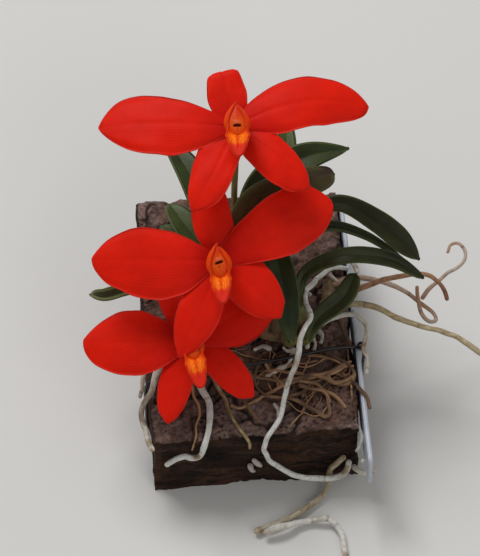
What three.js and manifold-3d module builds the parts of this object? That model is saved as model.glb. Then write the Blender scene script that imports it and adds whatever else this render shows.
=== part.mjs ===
// Mounted sophronitis orchid: scarlet flowers, leathery leaves and roots on a block of tree bark.
// Millimetres. +X runs to the right across the bark, +Y up its length and +Z out of its face.
// The origin is the centre of the bark's flat back, which lies on the surface under it.
import * as THREE from 'three';
import { mergeVertices } from 'three/addons/utils/BufferGeometryUtils.js';
import Module from 'manifold-3d';

const wasm = await Module();
wasm.setup();

// Driving dimensions
const GAP = 0.3;                 // clearance kept between touching pieces
const BLOCK_WIDTH = 56.6;
const BLOCK_LENGTH = 78.6;
const BLOCK_HEIGHT = 25;
const PLATE_RELIEF = 1.1;        // height of the bark's plates
const FISSURE_DEPTH = 1.3;
const SIDE_RELIEF = 0.8;         // in-and-out of the layered sides
const WIRE_RADIUS = 0.45;
const WIRE_BACK_HEIGHT = 0.6;    // height of the wire's centre in its groove in the back
const LABEL_LENGTH = 84;
const LABEL_HEIGHT = 12.5;
const LABEL_THICKNESS = 1.2;
const TEPAL_THICKNESS = 0.7;
const LIP_THICKNESS = 0.6;
const LEAF_THICKNESS = 1.3;
const LEAF_RIM_THICKNESS = 0.8;
const SCAPE_RADIUS = 0.85;
const OVARY_RADIUS = 1.5;
const OVARY_LENGTH = 11;
const COLUMN_RADIUS = 1.45;
const COLUMN_LENGTH = 6;
const COLUMN_DROOP = 9;          // degrees that the column leans down from the flower's axis
const TUBE_RADIUS = 2.25;         // of the lip's rolled base
const TUBE_SHARE = 0.38;         // of the lip's length
const BULB_RADIUS = 2.5;
const DRY_ROOT_RADIUS = 0.48;
const DRY_ROOT_STEP = 3.6;        // length of a dry root between its rings
const ROOT_STEP = 3;              // the same for a living root

const SEPAL_LEVEL = 0.7;         // heights of the whorls over the ovary's top
const PETAL_LEVEL = 1.8;
const LIP_LEVEL = 2.9;

// Materials
const finish = (color, roughness, metalness = 0) =>
  new THREE.MeshStandardMaterial({ color, roughness, metalness });
const barkFinish = () => finish(0x6b5a55, 0.95);
const wireFinish = () => finish(0x101010, 0.45);
const labelFinish = () => finish(0xdfe4ee, 0.4);
const stemFinish = () => finish(0x6f7d34, 0.6);
const leafFinish = () => finish(0x2f4420, 0.45);
const tepalFinish = () => finish(0xc9190e, 0.5);
const lipFinish = () => finish(0xe8860f, 0.45);
const columnFinish = () => finish(0xe0704a, 0.5);
const rootFinish = () => finish(0xc9c6bb, 0.8);
const redRootFinish = () => finish(0xa5735a, 0.75);
const dryRootFinish = () => finish(0x8a6a48, 0.9);

// Small helpers
const toRadians = THREE.MathUtils.degToRad;
const mix = THREE.MathUtils.lerp;
const clamp = THREE.MathUtils.clamp;
const vector = (point) => new THREE.Vector3(point[0], point[1], point[2]);

function geometryFrom(vertices, triangles) {
  const geometry = new THREE.BufferGeometry();
  geometry.setAttribute('position', new THREE.Float32BufferAttribute(vertices, 3));
  geometry.setIndex(triangles);
  return geometry;
}

function solidFrom(geometry) {
  const bare = geometry.clone();
  bare.deleteAttribute('normal');
  bare.deleteAttribute('uv');
  const merged = mergeVertices(bare, 1e-4);
  return new wasm.Manifold(new wasm.Mesh({
    numProp: 3,
    vertProperties: new Float32Array(merged.attributes.position.array),
    triVerts: new Uint32Array(merged.index.array),
  }));
}

function geometryOf(solid) {
  const mesh = solid.getMesh();
  const geometry = geometryFrom(Array.from(mesh.vertProperties), Array.from(mesh.triVerts));
  geometry.computeVertexNormals();
  return geometry;
}

function largestBody(solid) {
  const bodies = solid.decompose();
  bodies.sort((a, b) => b.volume() - a.volume());
  return bodies[0];
}

// A smooth value noise, repeatable for a given seed
function cellValue(i, j, seed) {
  const wave = Math.sin(i * 127.1 + j * 311.7 + seed * 74.7) * 43758.5453;
  return wave - Math.floor(wave);
}

function noise(x, y, seed) {
  const i = Math.floor(x);
  const j = Math.floor(y);
  const fx = x - i;
  const fy = y - j;
  const sx = fx * fx * (3 - 2 * fx);
  const sy = fy * fy * (3 - 2 * fy);
  const low = mix(cellValue(i, j, seed), cellValue(i + 1, j, seed), sx);
  const high = mix(cellValue(i, j + 1, seed), cellValue(i + 1, j + 1, seed), sx);
  return mix(low, high, sy);
}

// The bark block: a flat back, layered sides and a face of plates with fissures between them
function barkFaceHeight(x, y) {
  const plates = noise(x / 9 + 20, y / 13 + 20, 3) - 0.5;
  const crackField = noise(x / 11 + 5, y / 17 + 5, 8);
  const fissure = Math.max(0, 1 - Math.abs(crackField - 0.5) / 0.05);
  return BLOCK_HEIGHT + PLATE_RELIEF * plates - FISSURE_DEPTH * fissure;
}

function barkBlock(grow) {
  const across = 12;
  const along = 17;
  const levels = 5;
  const halfWidth = BLOCK_WIDTH / 2;
  const halfLength = BLOCK_LENGTH / 2;
  const vertices = [];
  const triangles = [];
  const outline = [];
  for (let i = 0; i < across; i++) outline.push([-halfWidth + BLOCK_WIDTH * i / across, -halfLength]);
  for (let j = 0; j < along; j++) outline.push([halfWidth, -halfLength + BLOCK_LENGTH * j / along]);
  for (let i = 0; i < across; i++) outline.push([halfWidth - BLOCK_WIDTH * i / across, halfLength]);
  for (let j = 0; j < along; j++) outline.push([-halfWidth, halfLength - BLOCK_LENGTH * j / along]);
  const around = outline.length;
  const rim = (x, y) => Math.min(halfWidth - Math.abs(x), halfLength - Math.abs(y));
  const faceHeight = (x, y) => barkFaceHeight(x, y) - 1.0 * Math.max(0, 1 - rim(x, y) / 3) + grow;
  for (let level = 0; level <= levels; level++) {
    outline.forEach(([x, y]) => {
      const onSide = Math.abs(Math.abs(x) - halfWidth) < 1e-6;
      const onEnd = Math.abs(Math.abs(y) - halfLength) < 1e-6;
      const share = level / levels;
      const run = onSide ? y : x;
      const layer = (noise(run / 14 + 40, share * 4 + 10, onSide ? 5 : 6) - 0.5) * 2 * SIDE_RELIEF;
      const outward = (level === levels ? -0.8 : layer - SIDE_RELIEF) + grow;
      const px = x + (onSide ? Math.sign(x) * outward : 0);
      const py = y + (onEnd ? Math.sign(y) * outward : 0);
      const pz = level === 0 ? -grow : share * faceHeight(x, y);
      vertices.push(px, py, pz);
    });
  }
  for (let level = 0; level < levels; level++) {
    for (let k = 0; k < around; k++) {
      const a = level * around + k;
      const b = level * around + (k + 1) % around;
      triangles.push(a, b, b + around, a, b + around, a + around);
    }
  }
  const topRing = levels * around;
  const inside = vertices.length / 3;
  for (let j = 1; j < along; j++) {
    for (let i = 1; i < across; i++) {
      const x = -halfWidth + BLOCK_WIDTH * i / across;
      const y = -halfLength + BLOCK_LENGTH * j / along;
      vertices.push(x, y, faceHeight(x, y));
    }
  }
  const faceVertex = (i, j) => {
    if (j === 0) return topRing + i;
    if (i === across) return topRing + across + j;
    if (j === along) return topRing + across + along + (across - i);
    if (i === 0) return topRing + (2 * across + along + (along - j)) % around;
    return inside + (j - 1) * (across - 1) + (i - 1);
  };
  for (let j = 0; j < along; j++) {
    for (let i = 0; i < across; i++) {
      const a = faceVertex(i, j);
      const b = faceVertex(i + 1, j);
      const c = faceVertex(i + 1, j + 1);
      const d = faceVertex(i, j + 1);
      triangles.push(a, b, c, a, c, d);
    }
  }
  const centre = vertices.length / 3;
  vertices.push(0, 0, -grow);
  for (let k = 0; k < around; k++) triangles.push((k + 1) % around, k, centre);
  return geometryFrom(vertices, triangles);
}

// A closed tube along a curve; open-ended curves close in rounded tips
function tubeAlong(curve, radiusAt, sides, steps, loop = false) {
  const frames = curve.computeFrenetFrames(steps, loop);
  const vertices = [];
  const triangles = [];
  const rings = loop ? steps : steps + 1;
  const addRing = (centre, normal, binormal, radius) => {
    for (let k = 0; k < sides; k++) {
      const angle = 2 * Math.PI * k / sides;
      const side = normal.clone().multiplyScalar(Math.cos(angle) * radius);
      const up = binormal.clone().multiplyScalar(Math.sin(angle) * radius);
      const point = centre.clone().add(side).add(up);
      vertices.push(point.x, point.y, point.z);
    }
  };
  for (let i = 0; i < rings; i++) {
    const share = i / steps;
    addRing(curve.getPointAt(share), frames.normals[i], frames.binormals[i], radiusAt(share));
  }
  const joins = loop ? rings : rings - 1;
  for (let i = 0; i < joins; i++) {
    for (let k = 0; k < sides; k++) {
      const a = i * sides + k;
      const b = i * sides + (k + 1) % sides;
      const next = ((i + 1) % rings) * sides;
      const c = next + (k + 1) % sides;
      const d = next + k;
      triangles.push(a, b, c, a, c, d);
    }
  }
  if (!loop) {
    const start = curve.getPointAt(0).addScaledVector(frames.tangents[0], -0.6 * radiusAt(0));
    const end = curve.getPointAt(1).addScaledVector(frames.tangents[steps], 0.6 * radiusAt(1));
    const startIndex = vertices.length / 3;
    vertices.push(start.x, start.y, start.z, end.x, end.y, end.z);
    const last = (rings - 1) * sides;
    for (let k = 0; k < sides; k++) {
      triangles.push((k + 1) % sides, k, startIndex);
      triangles.push(last + k, last + (k + 1) % sides, startIndex + 1);
    }
  }
  return geometryFrom(vertices, triangles);
}

function smoothCurve(points, closed = false) {
  return new THREE.CatmullRomCurve3(points.map(vector), closed, 'centripetal');
}

// A thin closed sheet: the middle surface is given for u along (0 to 1) and v across (-1 to 1)
function sheetSolid(pointAt, stepsAlong, stepsAcross, thicknessAt, grow) {
  const nudge = 0.01;
  const front = [];
  const back = [];
  for (let i = 0; i <= stepsAlong; i++) {
    for (let j = 0; j <= stepsAcross; j++) {
      const u = i / stepsAlong;
      const v = -1 + 2 * j / stepsAcross;
      const along = pointAt(Math.min(1, u + nudge), v).sub(pointAt(Math.max(0, u - nudge), v)).normalize();
      const across = pointAt(u, Math.min(1, v + nudge)).sub(pointAt(u, Math.max(-1, v - nudge))).normalize();
      const normal = along.clone().cross(across).normalize();
      const middle = pointAt(u, v);
      if (i === 0) middle.addScaledVector(along, -grow);
      if (i === stepsAlong) middle.addScaledVector(along, grow);
      if (j === 0) middle.addScaledVector(across, -grow);
      if (j === stepsAcross) middle.addScaledVector(across, grow);
      const half = thicknessAt(u, v) / 2 + grow;
      front.push(middle.clone().addScaledVector(normal, half));
      back.push(middle.clone().addScaledVector(normal, -half));
    }
  }
  const vertices = [];
  front.concat(back).forEach((p) => vertices.push(p.x, p.y, p.z));
  const triangles = [];
  const row = stepsAcross + 1;
  const offset = front.length;
  for (let i = 0; i < stepsAlong; i++) {
    for (let j = 0; j < stepsAcross; j++) {
      const a = i * row + j;
      const b = a + row;
      triangles.push(a, b, b + 1, a, b + 1, a + 1);
      triangles.push(offset + a, offset + b + 1, offset + b, offset + a, offset + a + 1, offset + b + 1);
    }
  }
  const edge = (a, b) => triangles.push(a, b, b + offset, a, b + offset, a + offset);
  for (let i = 0; i < stepsAlong; i++) {
    edge((i + 1) * row, i * row);
    edge(i * row + stepsAcross, (i + 1) * row + stepsAcross);
  }
  for (let j = 0; j < stepsAcross; j++) {
    edge(j, j + 1);
    edge(stepsAlong * row + j + 1, stepsAlong * row + j);
  }
  return geometryFrom(vertices, triangles);
}

// Width of a petal, sepal or leaf along its length, as a share of its widest
function bladeWidth(u, widest, base, tipPower, rise = 1) {
  const share = u < widest
    ? base + (1 - base) * Math.pow(Math.sin(Math.PI / 2 * u / widest), rise)
    : Math.pow(Math.cos(Math.PI / 2 * (u - widest) / (1 - widest)), tipPower);
  return Number.isFinite(share) ? share : 0;
}

// Petals and sepals, in the flower's own frame: x right, y up the face, z out toward the viewer.
// Each leaves the ovary at its angle, rises by its pitch and curls by an even turn along its length.
// half, widest and tip are pairs: the blade's two sides differ, first the side clockwise of its midrib.
function tepalSurface(tepal, level) {
  const pieces = 48;
  const line = [];
  let reach = 0.9;
  const middle = new THREE.Vector3(0, 0, level);
  const heading = toRadians(tepal.angle);
  middle.x = reach * Math.cos(heading);
  middle.y = reach * Math.sin(heading);
  for (let i = 0; i <= pieces; i++) {
    const share = i / pieces;
    const turn = toRadians(tepal.angle + tepal.bend * share);
    const pitch = toRadians(tepal.pitch + tepal.curl * share);
    const ahead = new THREE.Vector3(Math.cos(turn), Math.sin(turn), 0);
    const side = new THREE.Vector3(-Math.sin(turn), Math.cos(turn), 0);
    const tangent = ahead.clone().multiplyScalar(Math.cos(pitch)).add(new THREE.Vector3(0, 0, Math.sin(pitch)));
    const lift = ahead.clone().multiplyScalar(-Math.sin(pitch)).add(new THREE.Vector3(0, 0, Math.cos(pitch)));
    line.push({ point: middle.clone(), side, lift });
    middle.addScaledVector(tangent, tepal.length / pieces);
  }
  return (u, v) => {
    const t = 1 - Math.pow(1 - u, 1.35);
    const place = clamp(t, 0, 1) * pieces;
    const low = Math.min(pieces - 1, Math.floor(place));
    const part = place - low;
    const point = line[low].point.clone().lerp(line[low + 1].point, part);
    const side = line[low].side.clone().lerp(line[low + 1].side, part).normalize();
    const lift = line[low].lift.clone().lerp(line[low + 1].lift, part).normalize();
    const [half, widest, tip] = [tepal.half, tepal.widest, tepal.tip].map((pair) => pair[v < 0 ? 0 : 1]);
    const width = Math.max(0.35, half * bladeWidth(t, widest, tepal.base, tip));
    const cup = tepal.cup * width * v * v;
    const wave = tepal.ripple * Math.sin(9 * t + 2.2 * v + tepal.angle) * v * v * Math.sin(Math.PI * t);
    const crease = -0.35 * Math.exp(-v * v / 0.02) * Math.min(1, width / 3);
    return point.addScaledVector(side, v * width).addScaledVector(lift, cup + wave + crease);
  };
}

function tepalPiece(tepal, level, place, grow) {
  const steps = 9;
  const across = 4;
  const geometry = sheetSolid(tepalSurface(tepal, level), steps, across, () => TEPAL_THICKNESS, grow);
  return geometry.applyMatrix4(place);
}

// The lip: side lobes rolled into a tube round the column, then a pointed tongue hanging from its mouth.
// It is turned a little about the flower's axis, and sways to one side.
const OUTWARD = new THREE.Vector3(0, 0, 1);

function lipSurface(lip) {
  const pieces = 40;
  const line = [];
  const point = new THREE.Vector3(0, -1.9, LIP_LEVEL);
  for (let i = 0; i <= pieces; i++) {
    const share = i / pieces;
    const turn = toRadians(mix(26, lip.droop, clamp((share - TUBE_SHARE) / 0.3, 0, 1)));
    const tangent = new THREE.Vector3(0, -Math.sin(turn), Math.cos(turn));
    const inward = new THREE.Vector3(0, Math.cos(turn * 0.4), Math.sin(turn * 0.4));
    line.push({ point: point.clone(), inward });
    point.addScaledVector(tangent, lip.length / pieces);
  }
  return (u, v) => {
    const place = clamp(u, 0, 1) * pieces;
    const low = Math.min(pieces - 1, Math.floor(place));
    const part = place - low;
    const middle = line[low].point.clone().lerp(line[low + 1].point, part);
    const inward = line[low].inward.clone().lerp(line[low + 1].inward, part).normalize();
    const opening = clamp((u - TUBE_SHARE) / 0.2, 0, 1);
    const eased = opening * opening * (3 - 2 * opening);
    const wrap = mix(2.95, 0.45, eased);
    const tube = mix(TUBE_RADIUS, lip.mouth, clamp(u / TUBE_SHARE, 0, 1));
    const tongue = lip.half * Math.pow(clamp((1 - u) / lip.taper, 0, 1), lip.power) + 0.35;
    const width = mix(tube * wrap, tongue, eased);
    const radius = width / wrap;
    const angle = v * wrap;
    const peak = 1 + lip.peak * Math.pow(Math.abs(angle) / Math.PI, 4);
    middle.x += radius * Math.sin(angle) + lip.sway * clamp(u / TUBE_SHARE, 0, 1);
    middle.addScaledVector(inward, radius * (1 - Math.cos(angle) * peak));
    return middle.applyAxisAngle(OUTWARD, toRadians(lip.turn));
  };
}

function lipPiece(lip, place, grow) {
  return sheetSolid(lipSurface(lip), 12, 12, () => LIP_THICKNESS, grow).applyMatrix4(place);
}

// The column: a stout peg with the anther cap at its end
function columnPiece(place, grow) {
  const top = COLUMN_LENGTH + grow;
  const profile = [
    [0, GAP - grow],
    [COLUMN_RADIUS + grow, GAP - grow],
    [COLUMN_RADIUS + grow, COLUMN_LENGTH * 0.5],
    [COLUMN_RADIUS * 1.35 + grow, COLUMN_LENGTH * 0.85],
    [COLUMN_RADIUS * 0.9 + grow, top - 0.35],
    [0, top],
  ].map(([radius, height]) => new THREE.Vector2(radius, height));
  const geometry = new THREE.LatheGeometry(profile, 8);
  return geometry.rotateX(Math.PI / 2 + toRadians(COLUMN_DROOP)).applyMatrix4(place);
}

// The flower stalk with the ovary behind the flower; it ends flat just under the sepals
function scapePiece(flower, place, grow) {
  const back = new THREE.Vector3(0, 0, -OVARY_LENGTH).applyMatrix4(place);
  const top = new THREE.Vector3(0, 0, -0.75).applyMatrix4(place);
  const waist = new THREE.Vector3(0, 0, -OVARY_LENGTH / 2).applyMatrix4(place);
  const curve = new THREE.CatmullRomCurve3(
    [...flower.stalk.map(vector), back, waist, top], false, 'centripetal');
  const length = curve.getLength();
  const radiusAt = (share) => {
    const toTop = (1 - share) * length;
    const swell = clamp((OVARY_LENGTH + 2 - toTop) / 8, 0, 1);
    return mix(SCAPE_RADIUS, OVARY_RADIUS, swell * swell * (3 - 2 * swell)) + grow;
  };
  return tubeAlong(curve, radiusAt, 6, Math.ceil(length / 3));
}

const FLOWERS = {
  top: {
    centre: [-1.6, 18.6, 85.7], tilt: 15, lean: -2, roll: 2,
    stalk: [[-1.5, -1.5, 38], [-2.5, 4, 46], [-2.6, 11, 57], [-1.8, 18, 67]],
    dorsal_sepal: { angle: 94.88, length: 23.75, half: [5, 5.45], widest: [0.3, 0.3],
      base: 0.45, tip: [0.41, 0.68], pitch: 16, curl: -92, bend: -1.25, cup: -0.1, ripple: 0.1 },
    lateral_sepal_left: { angle: -118, length: 24.5, half: [6.42, 5.3], widest: [0.32, 0.64],
      base: 0.49, tip: [0.59, 0.6], pitch: 14, curl: -34, bend: -11, cup: -0.12, ripple: 0.5 },
    lateral_sepal_right: { angle: -39.5, length: 24.75, half: [6.2, 4.7], widest: [0.53, 0.37],
      base: 0.47, tip: [0.37, 0.68], pitch: 14, curl: -34, bend: -13.5, cup: -0.14, ripple: 0.2 },
    petal_left: { angle: 170, length: 35.5, half: [8.1, 8.7], widest: [0.73, 0.51],
      base: 0.21, tip: [0.69, 0.63], pitch: 10, curl: -26, bend: 6.38, cup: -0.1, ripple: 0.6 },
    petal_right: { angle: 24.5, length: 36, half: [7.02, 7.25], widest: [0.36, 0.49],
      base: 0.26, tip: [0.33, 0.64], pitch: 10, curl: -30, bend: -42, cup: -0.14, ripple: 0.5 },
    lip: { length: 14.4, half: 2.85, droop: 72, turn: -3.6, sway: 0.5, mouth: 3.15,
      power: 0.55, taper: 0.45, peak: 0.6 },
  },
  middle: {
    centre: [-7.7, -7.2, 63.1], tilt: 31, lean: -3, roll: 9,
    stalk: [[-4, -4, 37], [-5.5, -3, 42]],
    dorsal_sepal: { angle: 85, length: 22.5, half: [5.05, 5.5], widest: [0.36, 0.45],
      base: 0.42, tip: [0.25, 0.62], pitch: 8, curl: -30, bend: 9, cup: -0.12, ripple: 0.3 },
    lateral_sepal_left: { angle: -120.75, length: 26, half: [6, 5.4], widest: [0.45, 0.5],
      base: 0.35, tip: [0.6, 0.6], pitch: 10, curl: -24, bend: -9, cup: -0.12, ripple: 0.3 },
    lateral_sepal_right: { angle: -48.5, length: 21.5, half: [6.3, 6.6], widest: [0.45, 0.33],
      base: 0.38, tip: [0.5, 0.5], pitch: 12, curl: -30, bend: -15, cup: -0.15, ripple: 0.3 },
    petal_left: { angle: 167.5, length: 33, half: [8.5, 10.38], widest: [0.58, 0.42],
      base: 0.2, tip: [0.64, 0.48], pitch: 8, curl: -20, bend: 0, cup: -0.1, ripple: 0.5 },
    petal_right: { angle: 19.5, length: 32.75, half: [8.3, 8.45], widest: [0.6, 0.72],
      base: 0.31, tip: [0.45, 0.64], pitch: 8, curl: -22, bend: -9, cup: -0.12, ripple: 0.6 },
    lip: { length: 15.1, half: 2.5, droop: 63, turn: -6.5, sway: 0, mouth: 3.1,
      power: 0.5, taper: 0.46, peak: 0.62 },
  },
  bottom: {
    centre: [-16, -20, 43], tilt: 27, lean: -3, roll: 17,
    stalk: [[-7, -8, 30.5]],
    dorsal_sepal: { angle: 92, length: 20, half: [5.2, 3.9], widest: [0.5, 0.5],
      base: 0.4, tip: [0.5, 0.5], pitch: 4, curl: -30, bend: 4, cup: -0.1, ripple: 0.3 },
    lateral_sepal_left: { angle: -125.5, length: 21.5, half: [5.8, 3.25], widest: [0.4, 0.44],
      base: 0.35, tip: [0.45, 0.4], pitch: 6, curl: -22, bend: -5, cup: -0.12, ripple: 0.3 },
    lateral_sepal_right: { angle: -56, length: 21, half: [4.3, 4.75], widest: [0.59, 0.41],
      base: 0.41, tip: [0.35, 0.6], pitch: 8, curl: -26, bend: -11, cup: -0.14, ripple: 0.3 },
    petal_left: { angle: 160.5, length: 28.32, half: [8.7, 8.62], widest: [0.53, 0.53],
      base: 0.2, tip: [0.7, 0.38], pitch: 6, curl: -20, bend: -5, cup: -0.1, ripple: 0.5 },
    petal_right: { angle: 13.5, length: 28, half: [8.45, 8], widest: [0.47, 0.5],
      base: 0.2, tip: [0.74, 0.5], pitch: 0, curl: -16, bend: -0.62, cup: -0.1, ripple: 0.4 },
    lip: { length: 15.7, half: 2.4, droop: 80, turn: -8, sway: 0, mouth: 3.0,
      power: 0.43, taper: 0.43, peak: 0.54 },
  },
};

function flowerPlace(flower) {
  const turn = new THREE.Euler(toRadians(flower.tilt), toRadians(flower.lean), toRadians(flower.roll), 'XYZ');
  const rotation = new THREE.Quaternion().setFromEuler(turn);
  return new THREE.Matrix4().compose(vector(flower.centre), rotation, new THREE.Vector3(1, 1, 1));
}

// Leaves: thick folded blades along a hand-set midline. up points out of the leaf's upper face.
const LEAVES = {
  leaf_1: { line: [[-4, -3, 39], [-8, 11.5, 47], [-13.4, 27.5, 52], [-19.8, 40, 54]],
    half: 4.7, fold: 0.5, widest: 0.55, base: 0.34, tip: 0.6, up: [0.3, -0.3, 1] },
  leaf_2: { line: [[-5.7, -2.5, 37], [-10.5, 9, 42], [-15.6, 17.1, 43.9], [-19.5, 24, 44.4]],
    half: 4.1, fold: 0.5, widest: 0.66, base: 0.34, tip: 0.55, up: [0.3, -0.4, 1] },
  leaf_3: { line: [[-8.5, -1, 34], [-13.3, 11.3, 37.9], [-22, 21, 38.4]],
    half: 3.4, fold: 0.4, widest: 0.6, base: 0.34, tip: 0.5, up: [0, -0.3, 1] },
  leaf_4: { line: [[-9.5, -8.5, 35], [-17.6, -1.9, 40], [-30.9, -1.3, 38.6], [-42.5, -2, 39.3]],
    half: 2.7, fold: 0.8, widest: 0.82, base: 0.34, tip: 0.4, up: [0, 0.2, 1] },
  leaf_5: { line: [[2, -7, 42], [-1.5, 4, 54], [3, 11, 61], [12.5, 13.5, 64.5], [24.2, 15.2, 66]],
    half: 4.3, fold: 0.25, widest: 0.66, base: 0.34, tip: 0.18, up: [-0.2, -0.7, 0.8] },
  leaf_6: { line: [[4.5, -4, 41], [1.5, 12, 51], [6, 21, 57], [17.5, 26.5, 60], [29.5, 28.5, 60]],
    half: 4.5, fold: 0.5, widest: 0.68, base: 0.34, tip: 0.85, up: [0, -0.6, 0.85] },
  leaf_7: { line: [[7, -2, 39], [7.5, 15, 48], [13, 32.5, 55], [13.5, 44.5, 58]],
    half: 3.6, fold: 0.5, widest: 0.5, base: 0.34, tip: 0.6, up: [0, -0.4, 1] },
  leaf_8: { line: [[8.5, -5, 40], [11.8, 7.6, 50.6], [24.1, 13.4, 56.6], [35.8, 7.8, 54.4], [46.5, 0, 47]],
    half: 3.2, fold: 0.5, widest: 0.84, base: 0.15, tip: 0.75, rise: 3.5, up: [0.2, -0.6, 0.8] },
  leaf_9: { line: [[10, -7, 38], [10.1, 7.5, 48.1], [22.9, 9.6, 50.3], [32.3, 7.7, 48], [42.5, 3, 43]],
    half: 1.75, fold: 0.7, widest: 0.5, base: 0.32, tip: 0.6, up: [0, 0, 1] },
  leaf_10: { line: [[13.6, -8.1, 39.6], [15.2, -1.4, 44.3], [26.1, 0.6, 49.4], [38.5, 0.5, 46.7], [47.7, -2, 40.7]],
    half: 2.15, fold: 0.4, widest: 0.6, base: 0.36, tip: 0.6, up: [0.1, -0.35, 1] },
  leaf_11: { line: [[15.6, -15.7, 34.6], [18.3, -12, 38], [26.4, -7.1, 42], [29.3, -1.9, 44.2]],
    half: 2.9, fold: 0.49, widest: 0.65, base: 0.35, tip: 0.34, up: [-0.3, -0.4, 1] },
  leaf_12: { line: [[10.7, -17.1, 37], [9.6, -11.9, 45.7], [8.5, -5.1, 51.9], [7.6, 3.9, 55.6]],
    half: 4.1, fold: 0.49, widest: 0.57, base: 0.22, tip: 0.57, up: [0.2, -1, 0.7] },
};

function leafSurface(leaf) {
  const curve = smoothCurve(leaf.line);
  const hint = vector(leaf.up).normalize();
  return (u, v) => {
    const t = 1 - Math.pow(1 - u, 1.3);
    const along = curve.getTangentAt(t);
    const side = hint.clone().cross(along).normalize();
    const lift = along.clone().cross(side).normalize();
    const width = Math.max(0.4, leaf.half * bladeWidth(t, leaf.widest, leaf.base, leaf.tip, leaf.rise));
    const openness = Math.cos(Math.atan(leaf.fold));
    const rise = leaf.fold * openness * width * Math.sqrt(v * v + 0.01);
    return curve.getPointAt(t).addScaledVector(side, v * width * openness).addScaledVector(lift, rise);
  };
}

function leafPiece(leaf, grow) {
  const thicknessAt = (u, v) => mix(LEAF_THICKNESS, LEAF_RIM_THICKNESS, v * v);
  return sheetSolid(leafSurface(leaf), 8, 4, thicknessAt, grow);
}

// The creeping stem along the bark, with a pseudobulb under each leaf
const RHIZOME_LINE = [[-12, -4, 26.6], [-5, -5, 27], [2, -7, 27.2], [8, -9.5, 27.2], [14, -9, 27.4],
  [19, -5, 27.6], [22, 0, 27.8], [23, 6, 27.6]];
const RHIZOME_RADIUS = 1.7;

function bulbGeometry(leaf, grow) {
  const top = vector(leaf.line[0]);
  const curve = smoothCurve(RHIZOME_LINE);
  let foot = curve.getPointAt(0);
  for (let i = 0; i <= 60; i++) {
    const point = curve.getPointAt(i / 60);
    if (point.distanceTo(top) < foot.distanceTo(top)) foot = point;
  }
  const length = top.distanceTo(foot);
  const profile = [
    [0, -0.6], [BULB_RADIUS * 0.5, 0], [BULB_RADIUS, length * 0.35], [BULB_RADIUS * 0.85, length * 0.65],
    [BULB_RADIUS * 0.45, length - 0.4], [0, length],
  ].map(([radius, height]) => new THREE.Vector2(radius > 0 ? radius + grow : 0, height));
  const geometry = new THREE.LatheGeometry(profile, 7).rotateX(Math.PI / 2);
  const turn = new THREE.Quaternion().setFromUnitVectors(
    new THREE.Vector3(0, 0, 1), top.clone().sub(foot).normalize());
  return geometry.applyQuaternion(turn).translate(foot.x, foot.y, foot.z);
}

function rhizomeSolid(grow) {
  const stem = tubeAlong(smoothCurve(RHIZOME_LINE), () => RHIZOME_RADIUS + grow, 7, 14);
  let solid = solidFrom(stem);
  Object.values(LEAVES).forEach((leaf) => {
    solid = solid.add(solidFrom(bulbGeometry(leaf, grow)));
  });
  return solid;
}

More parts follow.
